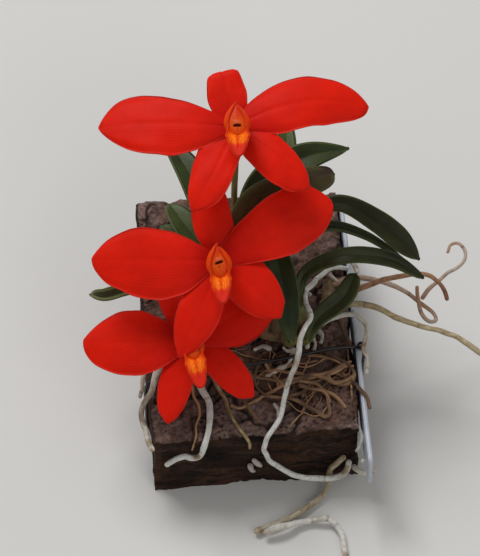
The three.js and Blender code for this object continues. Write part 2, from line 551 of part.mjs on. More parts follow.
// Living roots: routes set by hand, with the radius at the start and at the tip. They are white
// unless their kind says that they are reddish or dry.
const ROOTS = {
  root_1: { radius: [1.1, 0.65], line: [[-17.5, -9, 27.8], [-22.5, -13.2, 27.2], [-25, -17, 26.9],
    [-26.4, -20.5, 26.9], [-27.4, -24.5, 26.6], [-29.6, -27.2, 25.5], [-30.4, -29.6, 24], [-30.2, -32.4, 23.8],
    [-29.6, -35.5, 24], [-29.2, -38.5, 24.4], [-28.2, -41, 24.4]] },
  root_2: { radius: [1.05, 0.7], line: [[-17, -17.5, 26.8], [-15, -21.5, 26.6], [-13.8, -24.5, 26.6],
    [-12.5, -27.5, 26.5], [-12, -31.5, 26.5], [-12.4, -35.5, 26.4], [-13.4, -38.8, 25.7], [-14.4, -40.8, 23.2],
    [-15.1, -40.8, 19.5], [-16.4, -40.6, 17.7], [-17.8, -40.5, 17.6], [-19.6, -40.5, 19], [-21.6, -40.5, 18],
    [-24.4, -40.5, 15]] },
  root_3: { radius: [0.75, 0.9], line: [[28.6, 11.6, 26.8], [24.9, 10.4, 29.1], [21.5, 6.7, 32.5], [18.5, 1.4, 36.5], [15.8, -3.8, 39.9],
    [15.5, -9.7, 42.9], [16.2, -13.7, 43.2], [14.6, -17.4, 43.4], [13.0, -20.2, 42.2], [12.3, -23.3, 40.8],
    [11.4, -25.8, 38.8], [9.8, -28.0, 36.5], [8.7, -29.9, 33.6], [7.6, -31.8, 29.4], [6.8, -34.4, 27.2],
    [5, -37.4, 26.8], [3.2, -39.8, 26], [2.1, -41, 23.6], [2, -41, 19.6], [3.2, -41.2, 15.8],
    [5.8, -41.8, 12.4], [9, -42.6, 9.8], [13, -43, 8], [17, -43, 7], [20.2, -43, 6.4],
    [22.8, -42.6, 7], [24.4, -42, 9], [24.8, -41.6, 12]] },
  root_4: { radius: [0.8, 0.95], line: [[23.6, -40.5, 12.6], [21.4, -40.4, 9], [20, -40.6, 6.4],
    [19.6, -41.6, 3.8], [18.8, -43.8, 2.2], [17.4, -45.6, 1.6], [15.4, -47.2, 1.6], [12, -49.6, 1.6],
    [8.5, -51.6, 1.6], [3, -54, 1.6], [-1, -55.4, 1.8]] },
  root_5: { radius: [0.9, 0.7], line: [[20.5, -5, 30], [24.5, -4.6, 32.4], [28.5, -4.6, 33.6],
    [32, -5.2, 34], [36, -7, 34], [41, -10, 33], [46.5, -12, 32], [51.5, -13.2, 31], [55.5, -14.8, 30.4],
    [58.6, -17, 30], [62, -19.6, 29], [66.5, -22.5, 28]] },
  root_6: { radius: [0.75, 0.5], line: [[19.4, -7.4, 28.8], [24, -6.2, 30.2], [28.4, -6.6, 31.4],
    [31.4, -9.4, 31.6], [31.8, -12.6, 31.2], [31, -15.4, 30.6], [30.6, -17.6, 30], [31.4, -20, 29.4],
    [30.8, -23.4, 28.6]] },
  root_7: { radius: [0.8, 0.6], kind: 'red', line: [[24, -1.2, 29.2], [28.4, 0, 31.6], [32, 0.8, 33.2],
    [36, 1.6, 34.8], [40, 1.6, 36], [44.5, 1.8, 37], [49, 1.8, 36.4], [52.4, 0.8, 34.2], [54, -1, 32.4],
    [54.6, -3, 31]] },
  root_8: { radius: [0.75, 0.5], kind: 'red', line: [[24.6, 5.5, 28.6], [28, 6.2, 29.6], [31.5, 5.8, 30.2],
    [36.5, 4, 31.2], [41, 1.6, 31.2], [44.6, -0.4, 30], [47.6, -2.6, 28.8], [50.6, -5, 27.6],
    [51.2, -7.4, 27.4], [49.2, -8.4, 28.6], [47.2, -6.6, 30.4], [46.6, -3.4, 32.2], [46.4, -1, 34.4]] },
  root_9: { radius: [0.6, 0.45], kind: 'red', line: [[48.2, -1.6, 30], [50, 0.4, 31], [52.6, 2, 32.4],
    [55.2, 3, 34.4], [58, 3.6, 36.2], [60, 5.4, 37.2], [60.2, 7.8, 38], [58.6, 10, 38.2], [56.6, 10.2, 37.6],
    [55.6, 8.2, 37.2]] },
  root_10: { radius: [0.6, 0.4], line: [[-11.4, -18.5, 26.4], [-10.4, -21.5, 26.2], [-9, -25, 26.1],
    [-7.6, -28, 26], [-6.9, -31, 26], [-5.4, -35.4, 26], [-3.5, -38.6, 25.6], [-2.2, -40.1, 24],
    [-2, -40.2, 20.8]] },
  root_11: { radius: [0.8, 0.6], line: [[26.4, -41, 8.4], [27.4, -42.6, 9.2], [28.6, -43.8, 9.8],
    [30.4, -44, 9.8], [31.4, -44, 11], [30.4, -44, 13.6], [28.4, -43.8, 16.2]] },
  root_12: { radius: [1, 0.75], line: [[1.5, -56.6, 2.8], [4, -55.6, 3.6], [7, -54.9, 3.2], [10, -54, 2.2],
    [13.5, -53.2, 1.8], [16.4, -53.4, 2.6], [18.4, -53.4, 2.8], [20.2, -54.8, 2], [21.5, -57, 1.6],
    [22, -60, 1.6], [22.5, -64.5, 1.5]] },
  root_13: { radius: [0.75, 0.5], line: [[-23.8, -12.6, 27.1], [-27.6, -15.2, 26.6], [-29.2, -18.6, 26],
    [-30, -22.4, 25.6], [-30.6, -25, 25.6]] },
  root_14: { radius: [0.7, 0.45], line: [[27.6, -37, 22.5], [28.4, -39.6, 21.4], [28, -40.8, 19.4],
    [27, -40.9, 16.8]] },
  root_15: { radius: [0.4, 0.3], kind: 'dry', line: [[-16.6, -19.6, 26.2], [-16.2, -23.5, 26], [-15.9, -26.5, 26],
    [-15, -29.5, 25.9], [-15, -32.5, 25.9], [-16, -35.6, 25.9], [-16.2, -38.4, 25.5], [-17, -39.8, 23.6],
    [-17.4, -39.9, 21]] },
};

function rootPiece(root, grow) {
  const curve = smoothCurve(root.line);
  const length = curve.getLength();
  const radiusAt = (share) => mix(root.radius[0], root.radius[1], share) + grow;
  return tubeAlong(curve, radiusAt, 6, Math.ceil(length / ROOT_STEP));
}

// Dry brown roots matted over the bark, fused where they cross
const DRY_ROOTS = [
  [[27.4, -20, 26.6], [25.5, -20.2, 26.8], [23.4, -21.4, 26.8], [20.4, -22.2, 26.6], [17, -22.4, 26.4],
    [13.6, -22.9, 26.2], [10.8, -23.6, 26.2], [8.4, -24.6, 26.1], [4.6, -26.6, 26], [2.4, -27.6, 26],
    [-2, -29.8, 26], [-4, -30.7, 26], [-6, -29.8, 26]],
  [[26.8, -20, 26.7], [27.4, -22.8, 26.9], [26.4, -25, 26.8], [24, -25.5, 26.5], [21.6, -24.4, 26.4],
    [20.2, -22.4, 26.5]],
  [[22.6, -21.6, 26.8], [24, -22.8, 26.7], [26.4, -25, 26.8], [28.6, -28, 28.2], [30.2, -30.6, 27.6],
    [31, -33, 26]],
  [[11.4, -23.6, 26.2], [15, -24.4, 26.4], [17, -25.1, 26.4], [19, -27, 26.3], [21, -28.2, 26.1],
    [22.6, -29.8, 26], [24, -32.2, 25.9]],
  [[2.8, -27.2, 26], [4.2, -27.6, 26], [8, -28.2, 26], [11.5, -29.8, 26], [14.4, -31.8, 26],
    [17, -33.7, 26], [18.6, -35, 26], [19.8, -34.6, 26], [20.1, -32.8, 26.1], [19.9, -30.6, 26.2],
    [20, -28, 26.2]],
  [[8, -28.2, 26], [10.6, -28, 26.1], [13.4, -27, 26.3], [15.4, -25.2, 26.4]],
  [[15.6, -15.4, 26.2], [18, -16, 26.5], [20.6, -17, 26.8], [24, -18.7, 26.9], [26.8, -20, 26.7]],
  [[-0.5, -20.6, 26], [1.4, -21.4, 26.1], [5, -22.4, 26.2], [8.4, -23.4, 26.2], [11, -23.8, 26.2]],
  [[2, -17.4, 26.2], [0.8, -21.2, 26.1], [1.2, -24.6, 26.1], [3, -27.4, 26]],
  [[4.2, -17.6, 26.2], [5.4, -21, 26.2], [8.2, -24.6, 26.1]],
];

function dryRootMat(grow) {
  let mat = null;
  DRY_ROOTS.forEach((line) => {
    const curve = smoothCurve(line);
    const steps = Math.ceil(curve.getLength() / DRY_ROOT_STEP);
    const strand = solidFrom(tubeAlong(curve, () => DRY_ROOT_RADIUS + grow, 4, steps));
    mat = mat ? mat.add(strand) : strand;
  });
  return mat;
}

// The tie wire: one turn round the bark, over its face, round the label and along a groove in the back
function tieWire(grow) {
  const left = -BLOCK_WIDTH / 2 - 0.6;
  const right = BLOCK_WIDTH / 2 + 2.5;
  const line = [
    [left + 1.2, -20.6, WIRE_BACK_HEIGHT], [-14, -19.4, WIRE_BACK_HEIGHT], [0, -18, WIRE_BACK_HEIGHT],
    [14, -16.6, WIRE_BACK_HEIGHT], [right - 2.6, -15, WIRE_BACK_HEIGHT], [right - 0.8, -14.8, 2.2],
    [right - 0.2, -14.6, 8], [right, -14.6, 18], [right - 0.1, -14.6, 25.6], [right - 1.8, -14.8, 27.6],
    [22, -15.2, 28.4], [14, -16.2, 27.8], [6, -17, 27], [-4, -18, 26.2], [-14, -19.2, 26.2],
    [-24, -20.2, 26], [left + 0.9, -20.7, 25], [left, -20.8, 22], [left, -20.8, 12], [left + 0.2, -20.8, 3],
  ];
  return tubeAlong(smoothCurve(line, true), () => WIRE_RADIUS + grow, 5, 56, true);
}

// The plant label: a bare strip on edge against the bark's right side
function labelPiece(grow) {
  const geometry = new THREE.BoxGeometry(
    LABEL_THICKNESS + 2 * grow, LABEL_LENGTH + 2 * grow, LABEL_HEIGHT + 2 * grow);
  geometry.rotateZ(toRadians(0.9));
  return geometry.translate(BLOCK_WIDTH / 2 + 0.95, -9, 27 - LABEL_HEIGHT / 2);
}

// Assembly: each piece is cut back by the clearance of the pieces built before it
const plant = new THREE.Group();
const placed = [];

function boundsTouch(a, b) {
  const first = a.boundingBox();
  const second = b.boundingBox();
  return [0, 1, 2].every((axis) => first.min[axis] < second.max[axis] && second.min[axis] < first.max[axis]);
}

function addPiece(name, material, build) {
  const asSolid = (grow) => {
    const built = build(grow);
    return built.isBufferGeometry ? solidFrom(built) : built;
  };
  let solid = asSolid(0);
  placed.forEach((other) => {
    if (boundsTouch(solid, other.cleared)) solid = solid.subtract(other.cleared);
  });
  solid = largestBody(solid);
  placed.push({ name, cleared: asSolid(GAP) });
  const mesh = new THREE.Mesh(geometryOf(solid), material);
  mesh.name = name;
  plant.add(mesh);
}

addPiece('tie_wire', wireFinish(), tieWire);
addPiece('bark_block', barkFinish(), barkBlock);
addPiece('plant_label', labelFinish(), labelPiece);
addPiece('rhizome_with_pseudobulbs', stemFinish(), rhizomeSolid);

Object.entries(FLOWERS).forEach(([which, flower]) => {
  const place = flowerPlace(flower);
  addPiece(`${which}_flower_stalk_and_ovary`, stemFinish(), (grow) => scapePiece(flower, place, grow));
  addPiece(`${which}_flower_column`, columnFinish(), (grow) => columnPiece(place, grow));
  addPiece(`${which}_flower_lip`, lipFinish(), (grow) => lipPiece(flower.lip, place, grow));
  ['petal_left', 'petal_right'].forEach((part) => addPiece(`${which}_flower_${part}`, tepalFinish(),
    (grow) => tepalPiece(flower[part], PETAL_LEVEL, place, grow)));
  ['dorsal_sepal', 'lateral_sepal_left', 'lateral_sepal_right'].forEach((part) => addPiece(
    `${which}_flower_${part}`, tepalFinish(), (grow) => tepalPiece(flower[part], SEPAL_LEVEL, place, grow)));
});

Object.entries(LEAVES).forEach(([name, leaf]) => {
  addPiece(name, leafFinish(), (grow) => leafPiece(leaf, grow));
});

Object.entries(ROOTS).forEach(([name, root]) => {
  const finishOf = { red: redRootFinish, dry: dryRootFinish }[root.kind] ?? rootFinish;
  addPiece(name, finishOf(), (grow) => rootPiece(root, grow));
});
addPiece('dry_root_mat', dryRootFinish(), dryRootMat);

export default plant;
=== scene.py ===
"""Mounted sophronitis orchid: scarlet flowers, leathery leaves and roots on a block of tree bark.

Shapes are worked out in millimetres as numpy grids and put into the meshes in metres. X runs to the
right across the bark, Y up its length and Z out of its face.
"""

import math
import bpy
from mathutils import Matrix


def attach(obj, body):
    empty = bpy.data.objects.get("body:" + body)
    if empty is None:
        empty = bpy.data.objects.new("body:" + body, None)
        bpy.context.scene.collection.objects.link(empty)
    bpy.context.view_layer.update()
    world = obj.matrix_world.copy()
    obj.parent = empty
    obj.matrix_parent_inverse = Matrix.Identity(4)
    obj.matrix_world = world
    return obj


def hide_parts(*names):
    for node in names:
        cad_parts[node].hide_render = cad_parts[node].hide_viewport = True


bl_info = {
    "name": "Mounted Orchid",
    "version": (1, 0, 0),
    "blender": (4, 5, 0),
    "location": "View3D > Sidebar > Orchid",
    "description": "Builds a small mounted orchid with its bark, wire, label, leaves, flowers and roots",
    "category": "Add Mesh",
}

import bpy
import numpy as np
from mathutils import Matrix

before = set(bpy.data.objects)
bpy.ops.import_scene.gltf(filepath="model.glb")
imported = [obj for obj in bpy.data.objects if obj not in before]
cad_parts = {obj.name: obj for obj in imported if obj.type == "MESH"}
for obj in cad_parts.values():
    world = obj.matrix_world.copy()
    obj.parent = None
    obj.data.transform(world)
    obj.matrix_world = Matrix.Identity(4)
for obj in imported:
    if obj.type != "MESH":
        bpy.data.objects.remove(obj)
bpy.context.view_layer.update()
MM = 0.001

# The same measures as in the part's source: degrees, millimetres, and a share of the lip's length
COLUMN_DROOP = 9.0
OVARY_LENGTH = 11.0
TUBE_RADIUS = 2.25
TUBE_SHARE = 0.38
SEPAL_LEVEL = 0.7
PETAL_LEVEL = 1.8
LIP_LEVEL = 2.9
WIRE_BACK_HEIGHT = 0.6

# Rows along and columns across each kind of blade
TEPAL_GRID = (96, 41)
LIP_GRID = (120, 81)
LEAF_GRID = (110, 31)
LABEL_GRID = (140, 27)
# The point in the middle of the view in millimetres, and the place and width of each light in metres
VIEW_POINT = (-1.2156, 8.1475, 30.2231)
LIGHTS = {"key": ((-0.35, 0.55, 1.15), 0.6), "fill": ((0.5, -1.0, 0.9), 0.9)}


def named(keys, rows):
    """A table's rows with their values by name. A row may stop before its last keys."""
    return {name: dict(zip(keys, row)) for name, row in rows.items()}


# A flower's centre, its turns about X, Y and Z in degrees, and its stalk's route up to the ovary
FLOWER_KEYS = ("centre", "turns", "stalk")
FLOWERS = named(FLOWER_KEYS, {
    "top": ((-1.6, 18.6, 85.7), (15, -2, 2),
            [(-1.5, -1.5, 38), (-2.5, 4, 46), (-2.6, 11, 57), (-1.8, 18, 67)]),
    "middle": ((-7.7, -7.2, 63.1), (31, -3, 9), [(-4, -4, 37), (-5.5, -3, 42)]),
    "bottom": ((-16, -20, 43), (27, -3, 17), [(-7, -8, 30.5)]),
})

# A lip's length and half width, its droop and turn, its sway to one side, its mouth's radius, the power
# and share of its taper, how far its hood peaks, and the level and slant of the slit inside it
LIP_KEYS = ("length", "half", "droop", "turn", "sway", "mouth", "power", "taper", "peak", "level", "slant")
LIPS = named(LIP_KEYS, {
    "top": (14.4, 2.85, 72, -3.6, 0.5, 3.15, 0.55, 0.45, 0.6, 0.31, 0),
    "middle": (15.1, 2.5, 63, -6.5, 0, 3.1, 0.5, 0.46, 0.62, 0.48, 13),
    "bottom": (15.7, 2.4, 80, -8, 0, 3, 0.43, 0.43, 0.54, 0.4, 5),
})

# A petal's or sepal's heading, length, and on either side its half width, widest place and bluntness;
# its width at the base, and how it pitches, curls, bends, cups, ripples and hooks its tip
BLADE_KEYS = ("angle", "length", "half", "widest", "base", "tip", "pitch", "curl", "bend", "cup", "ripple",
              "hook")
BLADES = {
    "top": named(BLADE_KEYS, {
        "petal_left": (170, 35.5, (8.1, 8.7), (0.73, 0.51), 0.21, (0.69, 0.63), 10, -26, 6.38, -0.1, 0.6),
        "petal_right": (24.5, 36, (7.02, 7.25), (0.36, 0.49), 0.26, (0.33, 0.64), 10, -30, -42, -0.14,
                        0.5),
        "dorsal_sepal": (97, 25, (4.9, 5.4), (0.34, 0.3), 0.5, (1.1, 1.4), 12, -14, -1, -0.04, 0.25,
                         -105),
        "lateral_sepal_left": (-118, 24.5, (6.42, 5.3), (0.32, 0.64), 0.49, (0.59, 0.6), 14, -34, -11,
                               -0.12, 0.5),
        "lateral_sepal_right": (-39.5, 24.75, (6.2, 4.7), (0.53, 0.37), 0.47, (0.37, 0.68), 14, -34,
                                -13.5, -0.14, 0.2),
    }),
    "middle": named(BLADE_KEYS, {
        "petal_left": (167.5, 33, (8.5, 10.38), (0.58, 0.42), 0.2, (0.64, 0.48), 8, -20, 0, -0.1, 0.5),
        "petal_right": (19.5, 32.75, (8.3, 8.45), (0.6, 0.72), 0.31, (0.45, 0.64), 8, -22, -9, -0.12,
                        0.6),
        "dorsal_sepal": (85, 22.5, (5.05, 5.5), (0.36, 0.45), 0.42, (0.25, 0.62), 8, -30, 9, -0.12, 0.3),
        "lateral_sepal_left": (-120.75, 27, (6, 5.4), (0.45, 0.5), 0.35, (0.6, 0.6), 10, -24, -9, -0.12,
                               0.3),
        "lateral_sepal_right": (-48.5, 21.5, (6.3, 6.6), (0.45, 0.33), 0.38, (0.5, 0.5), 12, -30, -15,
                                -0.15, 0.3),
    }),
    "bottom": named(BLADE_KEYS, {
        "petal_left": (160.5, 28.32, (8.7, 8.62), (0.53, 0.53), 0.2, (0.7, 0.38), 6, -20, -5, -0.1, 0.5),
        "petal_right": (13.5, 28, (8.45, 8), (0.47, 0.5), 0.2, (0.74, 0.5), 0, -16, -0.62, -0.1, 0.4),
        "dorsal_sepal": (92, 20, (5.2, 3.9), (0.5, 0.5), 0.4, (0.5, 0.5), 4, -30, 4, -0.1, 0.3),
        "lateral_sepal_left": (-125.5, 21.5, (5.8, 3.25), (0.4, 0.44), 0.35, (0.45, 0.4), 6, -22, -5,
                               -0.12, 0.3),
        "lateral_sepal_right": (-56, 21, (4.3, 4.75), (0.59, 0.41), 0.41, (0.35, 0.6), 8, -26, -11, -0.14,
                                0.3),
    }),
}

# A leaf's midline and shape; shade lightens or darkens its green, partly its own tone and partly painted
# light and shade for how lit the leaf lies, and warm turns it olive or blue-green; pale and corner are for
# two leaves with a pale rim, one with a dark spot on the tip's upper corner
LEAF_KEYS = ("line", "half", "fold", "widest", "base", "tip", "rise", "up", "shade", "warm", "pale",
             "corner")
LEAVES = named(LEAF_KEYS, {
    "leaf_1": ([(-4, -3, 39), (-8, 11.5, 47), (-13.4, 27.5, 52), (-19.8, 40, 54)],
               4.7, 0.5, 0.55, 0.34, 0.6, 1, (0.3, -0.3, 1), 1.7, 0.1),
    "leaf_2": ([(-5.7, -2.5, 37), (-10.5, 9, 42), (-15.6, 17.1, 43.9), (-19.5, 24, 44.4)],
               4.1, 0.5, 0.66, 0.34, 0.55, 1, (0.3, -0.4, 1), 2.4, 0.2),
    "leaf_3": ([(-8.5, -1, 34), (-13.3, 11.3, 37.9), (-22, 21, 38.4)],
               3.4, 0.4, 0.6, 0.34, 0.5, 1, (0, -0.3, 1), 2.2, 0.15),
    "leaf_4": ([(-9.5, -8.5, 35), (-17.6, -1.9, 40), (-26.2, 0.1, 39.8), (-33, -0.4, 39.1),
                (-38.7, -1.9, 39.5), (-42.3, -0.8, 40.1)],
               2.6, 0.8, 0.84, 0.34, 0.4, 7, (0, 0.2, 1), 0.8, 0.6, 0.9),
    "leaf_5": ([(2, -7, 42), (-1.5, 4, 54), (3, 11, 61), (12.5, 13.7, 64.6), (24.4, 15.9, 66.4)],
               4.4, 0.25, 0.64, 0.34, 0.28, 1, (-0.2, -0.7, 0.8), 1.8, 1, 0.6, 0.16),
    "leaf_6": ([(4.5, -4, 41), (1.5, 12, 51), (6, 21, 57), (17.5, 26.5, 60), (29.5, 28.5, 60)],
               4.5, 0.5, 0.68, 0.34, 0.85, 1, (0, -0.6, 0.85), 1.4, 0.05),
    "leaf_7": ([(7, -2, 39), (7.5, 15, 48), (13, 32.5, 55), (13.5, 44.5, 58)],
               3.6, 0.5, 0.5, 0.34, 0.6, 1, (0, -0.4, 1), 2.4, 0.1),
    "leaf_8": ([(8.5, -5, 40), (11.8, 7.6, 50.6), (24.1, 13.4, 56.6), (35.8, 7.8, 54.4), (46.5, 0, 47)],
               3.2, 0.5, 0.84, 0.15, 0.75, 3.5, (0.2, -0.6, 0.8), 0.75, 0.55),
    "leaf_9": ([(10, -7, 38), (10.1, 7.5, 48.1), (22.9, 9.6, 50.3), (32.3, 7.7, 48), (42.5, 3, 43)],
               1.75, 0.7, 0.5, 0.32, 0.6, 1, (0, 0, 1), 0.8, 0.35),
    "leaf_10": ([(13.6, -8.1, 39.6), (15.2, -1.4, 44.3), (26.1, 0.6, 49.4), (38.5, 0.5, 46.7),
                 (47.7, -2, 40.7)],
                2.15, 0.4, 0.6, 0.36, 0.6, 1, (0.1, -0.35, 1), 0.95, 0.45),
    "leaf_11": ([(15.6, -15.7, 34.6), (18.3, -12, 38), (26.4, -7.1, 42), (29.3, -1.9, 44.2)],
                2.9, 0.49, 0.65, 0.35, 0.34, 1, (-0.3, -0.4, 1), 1.1, 0.3),
    "leaf_12": ([(10.7, -17.1, 37), (9.6, -11.9, 45.7), (8.5, -5.1, 51.9), (7.6, 3.9, 55.6)],
                4.1, 0.49, 0.57, 0.22, 0.57, 1, (0.2, -1, 0.7), 0.9, -0.25),
})

RHIZOME_LINE = [(-12, -4, 26.6), (-5, -5, 27), (2, -7, 27.2), (8, -9.5, 27.2), (14, -9, 27.4),
                (19, -5, 27.6), (22, 0, 27.8), (23, 6, 27.6)]

# Living roots: radius at the start and at the tip, kind, how cream it is, where it is worn tan or, below
# 0, paler, as (middle, spread, strength) with lengths in shares of the root, and its route
ROOT_KEYS = ("radius", "kind", "warm", "worn", "line")
ROOTS = named(ROOT_KEYS, {
    "root_1": ((1.1, 0.65), "white", 0.25, [(0.7, 0.15, 0.7), (1, 0.12, 1)],
               [(-17.5, -9, 27.8), (-22.5, -13.2, 27.2), (-25, -17, 26.9), (-26.4, -20.5, 26.9),
                (-27.4, -24.5, 26.6), (-29.6, -27.2, 25.5), (-30.4, -29.6, 24), (-30.2, -32.4, 23.8),
                (-29.6, -35.5, 24), (-29.2, -38.5, 24.4), (-28.2, -41, 24.4)]),
    "root_2": ((1.05, 0.7), "white", 0, [(0.73, 0.05, 0.9)],
               [(-17, -17.5, 26.8), (-15, -21.5, 26.6), (-13.8, -24.5, 26.6), (-12.5, -27.5, 26.5),
                (-12, -31.5, 26.5), (-12.4, -35.5, 26.4), (-13.4, -38.8, 25.7), (-14.4, -40.8, 23.2),
                (-15.1, -40.8, 19.5), (-16.4, -40.6, 17.7), (-17.8, -40.5, 17.6), (-19.6, -40.5, 19),
                (-21.6, -40.5, 18), (-24.4, -40.5, 15)]),
    "root_3": ((0.68, 0.78), "white", 0, [(0.46, 0.035, 0.75), (0.975, 0.03, 0.8)],
               [(28.6, 11.6, 26.8), (24.9, 10.4, 29.1), (21.5, 6.7, 32.5), (18.5, 1.4, 36.5),
                (15.8, -3.8, 39.9), (15.5, -9.7, 42.9), (16.2, -13.7, 43.2), (14.6, -17.4, 43.4),
                (13, -20.2, 42.2), (12.3, -23.3, 40.8), (11.4, -25.8, 38.8), (9.8, -28, 36.5),
                (8.7, -29.9, 33.6), (7.6, -31.8, 29.4), (6.8, -34.4, 27.2), (5, -37.4, 26.8),
                (3.2, -39.8, 26), (2.1, -41, 23.6), (2, -41, 19.6), (3.2, -41.2, 15.8),
                (5.8, -41.8, 12.4), (9, -42.6, 9.8), (13, -43, 8), (17, -43, 7), (20.2, -43, 6.4),
                (22.8, -42.6, 7), (24.4, -42, 9), (24.8, -41.6, 12)]),
    "root_4": ((0.8, 0.95), "white", 0.5, [(0.15, 0.3, 0.8), (0.6, 0.3, 0.6), (1, 0.06, 0.9)],
               [(23.6, -40.5, 12.6), (21.4, -40.4, 9), (20, -40.6, 6.4), (19.6, -41.6, 3.8),
                (18.8, -43.8, 2.2), (17.4, -45.6, 1.6), (15.4, -47.2, 1.6), (12, -49.6, 1.6),
                (8.5, -51.6, 1.6), (3, -54, 1.6), (-1, -55.4, 1.8)]),
    "root_5": ((0.9, 0.7), "white", 0.8, [(0.5, 0.5, 0.55)],
               [(20.5, -5, 30), (24.5, -4.6, 32.4), (28.5, -4.6, 33.6), (32, -5.2, 34), (36, -7, 34),
                (41, -10, 33), (46.5, -12, 32), (51.5, -13.2, 31), (55.5, -14.8, 30.4), (58.6, -17, 30),
                (62, -19.6, 29), (66.5, -22.5, 28)]),
    "root_6": ((0.75, 0.5), "white", 0.2, [(0.75, 0.2, 0.7)],
               [(19.4, -7.4, 28.8), (24, -6.2, 30.2), (28.4, -6.6, 31.4), (31.4, -9.4, 31.6),
                (31.8, -12.6, 31.2), (31, -15.4, 30.6), (30.6, -17.6, 30), (31.4, -20, 29.4),
                (30.8, -23.4, 28.6)]),
    "root_7": ((0.8, 0.6), "red", 0, [(0.2, 0.15, 0.6), (1, 0.15, 0.8)],
               [(24, -1.2, 29.2), (28.4, 0, 31.6), (32, 0.8, 33.2), (36, 1.6, 34.8), (40, 1.6, 36),
                (44.5, 1.8, 37), (49, 1.8, 36.4), (52.4, 0.8, 34.2), (54, -1, 32.4), (54.6, -3, 31)]),
    "root_8": ((0.75, 0.5), "red", 0, [(0.3, 0.25, -0.5), (0.75, 0.1, -0.6)],
               [(24.6, 5.5, 28.6), (28, 6.2, 29.6), (31.5, 5.8, 30.2), (36.5, 4, 31.2), (41, 1.6, 31.2),
                (44.6, -0.4, 30), (47.6, -2.6, 28.8), (50.6, -5, 27.6), (51.2, -7.4, 27.4),
                (49.2, -8.4, 28.6), (47.2, -6.6, 30.4), (46.6, -3.4, 32.2), (46.4, -1, 34.4)]),
    "root_9": ((0.6, 0.45), "red", 0, [(0.5, 0.4, -0.7)],
               [(48.2, -1.6, 30), (50, 0.4, 31), (52.6, 2, 32.4), (55.2, 3, 34.4), (58, 3.6, 36.2),
                (60, 5.4, 37.2), (60.2, 7.8, 38), (58.6, 10, 38.2), (56.6, 10.2, 37.6),
                (55.6, 8.2, 37.2)]),
    "root_10": ((0.6, 0.4), "white", 0.9, [(0.5, 0.6, 0.9)],
                [(-11.4, -18.5, 26.4), (-10.4, -21.5, 26.2), (-9, -25, 26.1), (-7.6, -28, 26),
                 (-6.9, -31, 26), (-5.4, -35.4, 26), (-3.5, -38.6, 25.6), (-2.2, -40.1, 24),
                 (-2, -40.2, 20.8)]),
    "root_11": ((0.8, 0.6), "white", 0.3, [(0.6, 0.2, 0.5)],
                [(26.4, -41, 8.4), (27.4, -42.6, 9.2), (28.6, -43.8, 9.8), (30.4, -44, 9.8),
                 (31.4, -44, 11), (30.4, -44, 13.6), (28.4, -43.8, 16.2)]),
    "root_12": ((1, 0.75), "white", 0.1, [(0, 0.08, 0.5), (0.5, 0.06, 0.4), (1, 0.05, 0.7)],
                [(1.5, -56.6, 2.8), (4, -55.6, 3.6), (7, -54.9, 3.2), (10, -54, 2.2), (13.5, -53.2, 1.8),
                 (16.4, -53.4, 2.6), (18.4, -53.4, 2.8), (20.2, -54.8, 2), (21.5, -57, 1.6),
                 (22, -60, 1.6), (22.5, -64.5, 1.5)]),
    "root_13": ((0.75, 0.5), "white", 0.3, [(0.8, 0.3, 0.5)],
                [(-23.8, -12.6, 27.1), (-27.6, -15.2, 26.6), (-29.2, -18.6, 26), (-30, -22.4, 25.6),
                 (-30.6, -25, 25.6)]),
    "root_14": ((0.7, 0.45), "white", 0, [],
                [(27.6, -37, 22.5), (28.4, -39.6, 21.4), (28, -40.8, 19.4), (27, -40.9, 16.8)]),
    "root_15": ((0.4, 0.3), "dry", 0, [],
                [(-16.6, -19.6, 26.2), (-16.2, -23.5, 26), (-15.9, -26.5, 26), (-15, -29.5, 25.9),
                 (-15, -32.5, 25.9), (-16, -35.6, 25.9), (-16.2, -38.4, 25.5), (-17, -39.8, 23.6),
                 (-17.4, -39.9, 21)]),
})

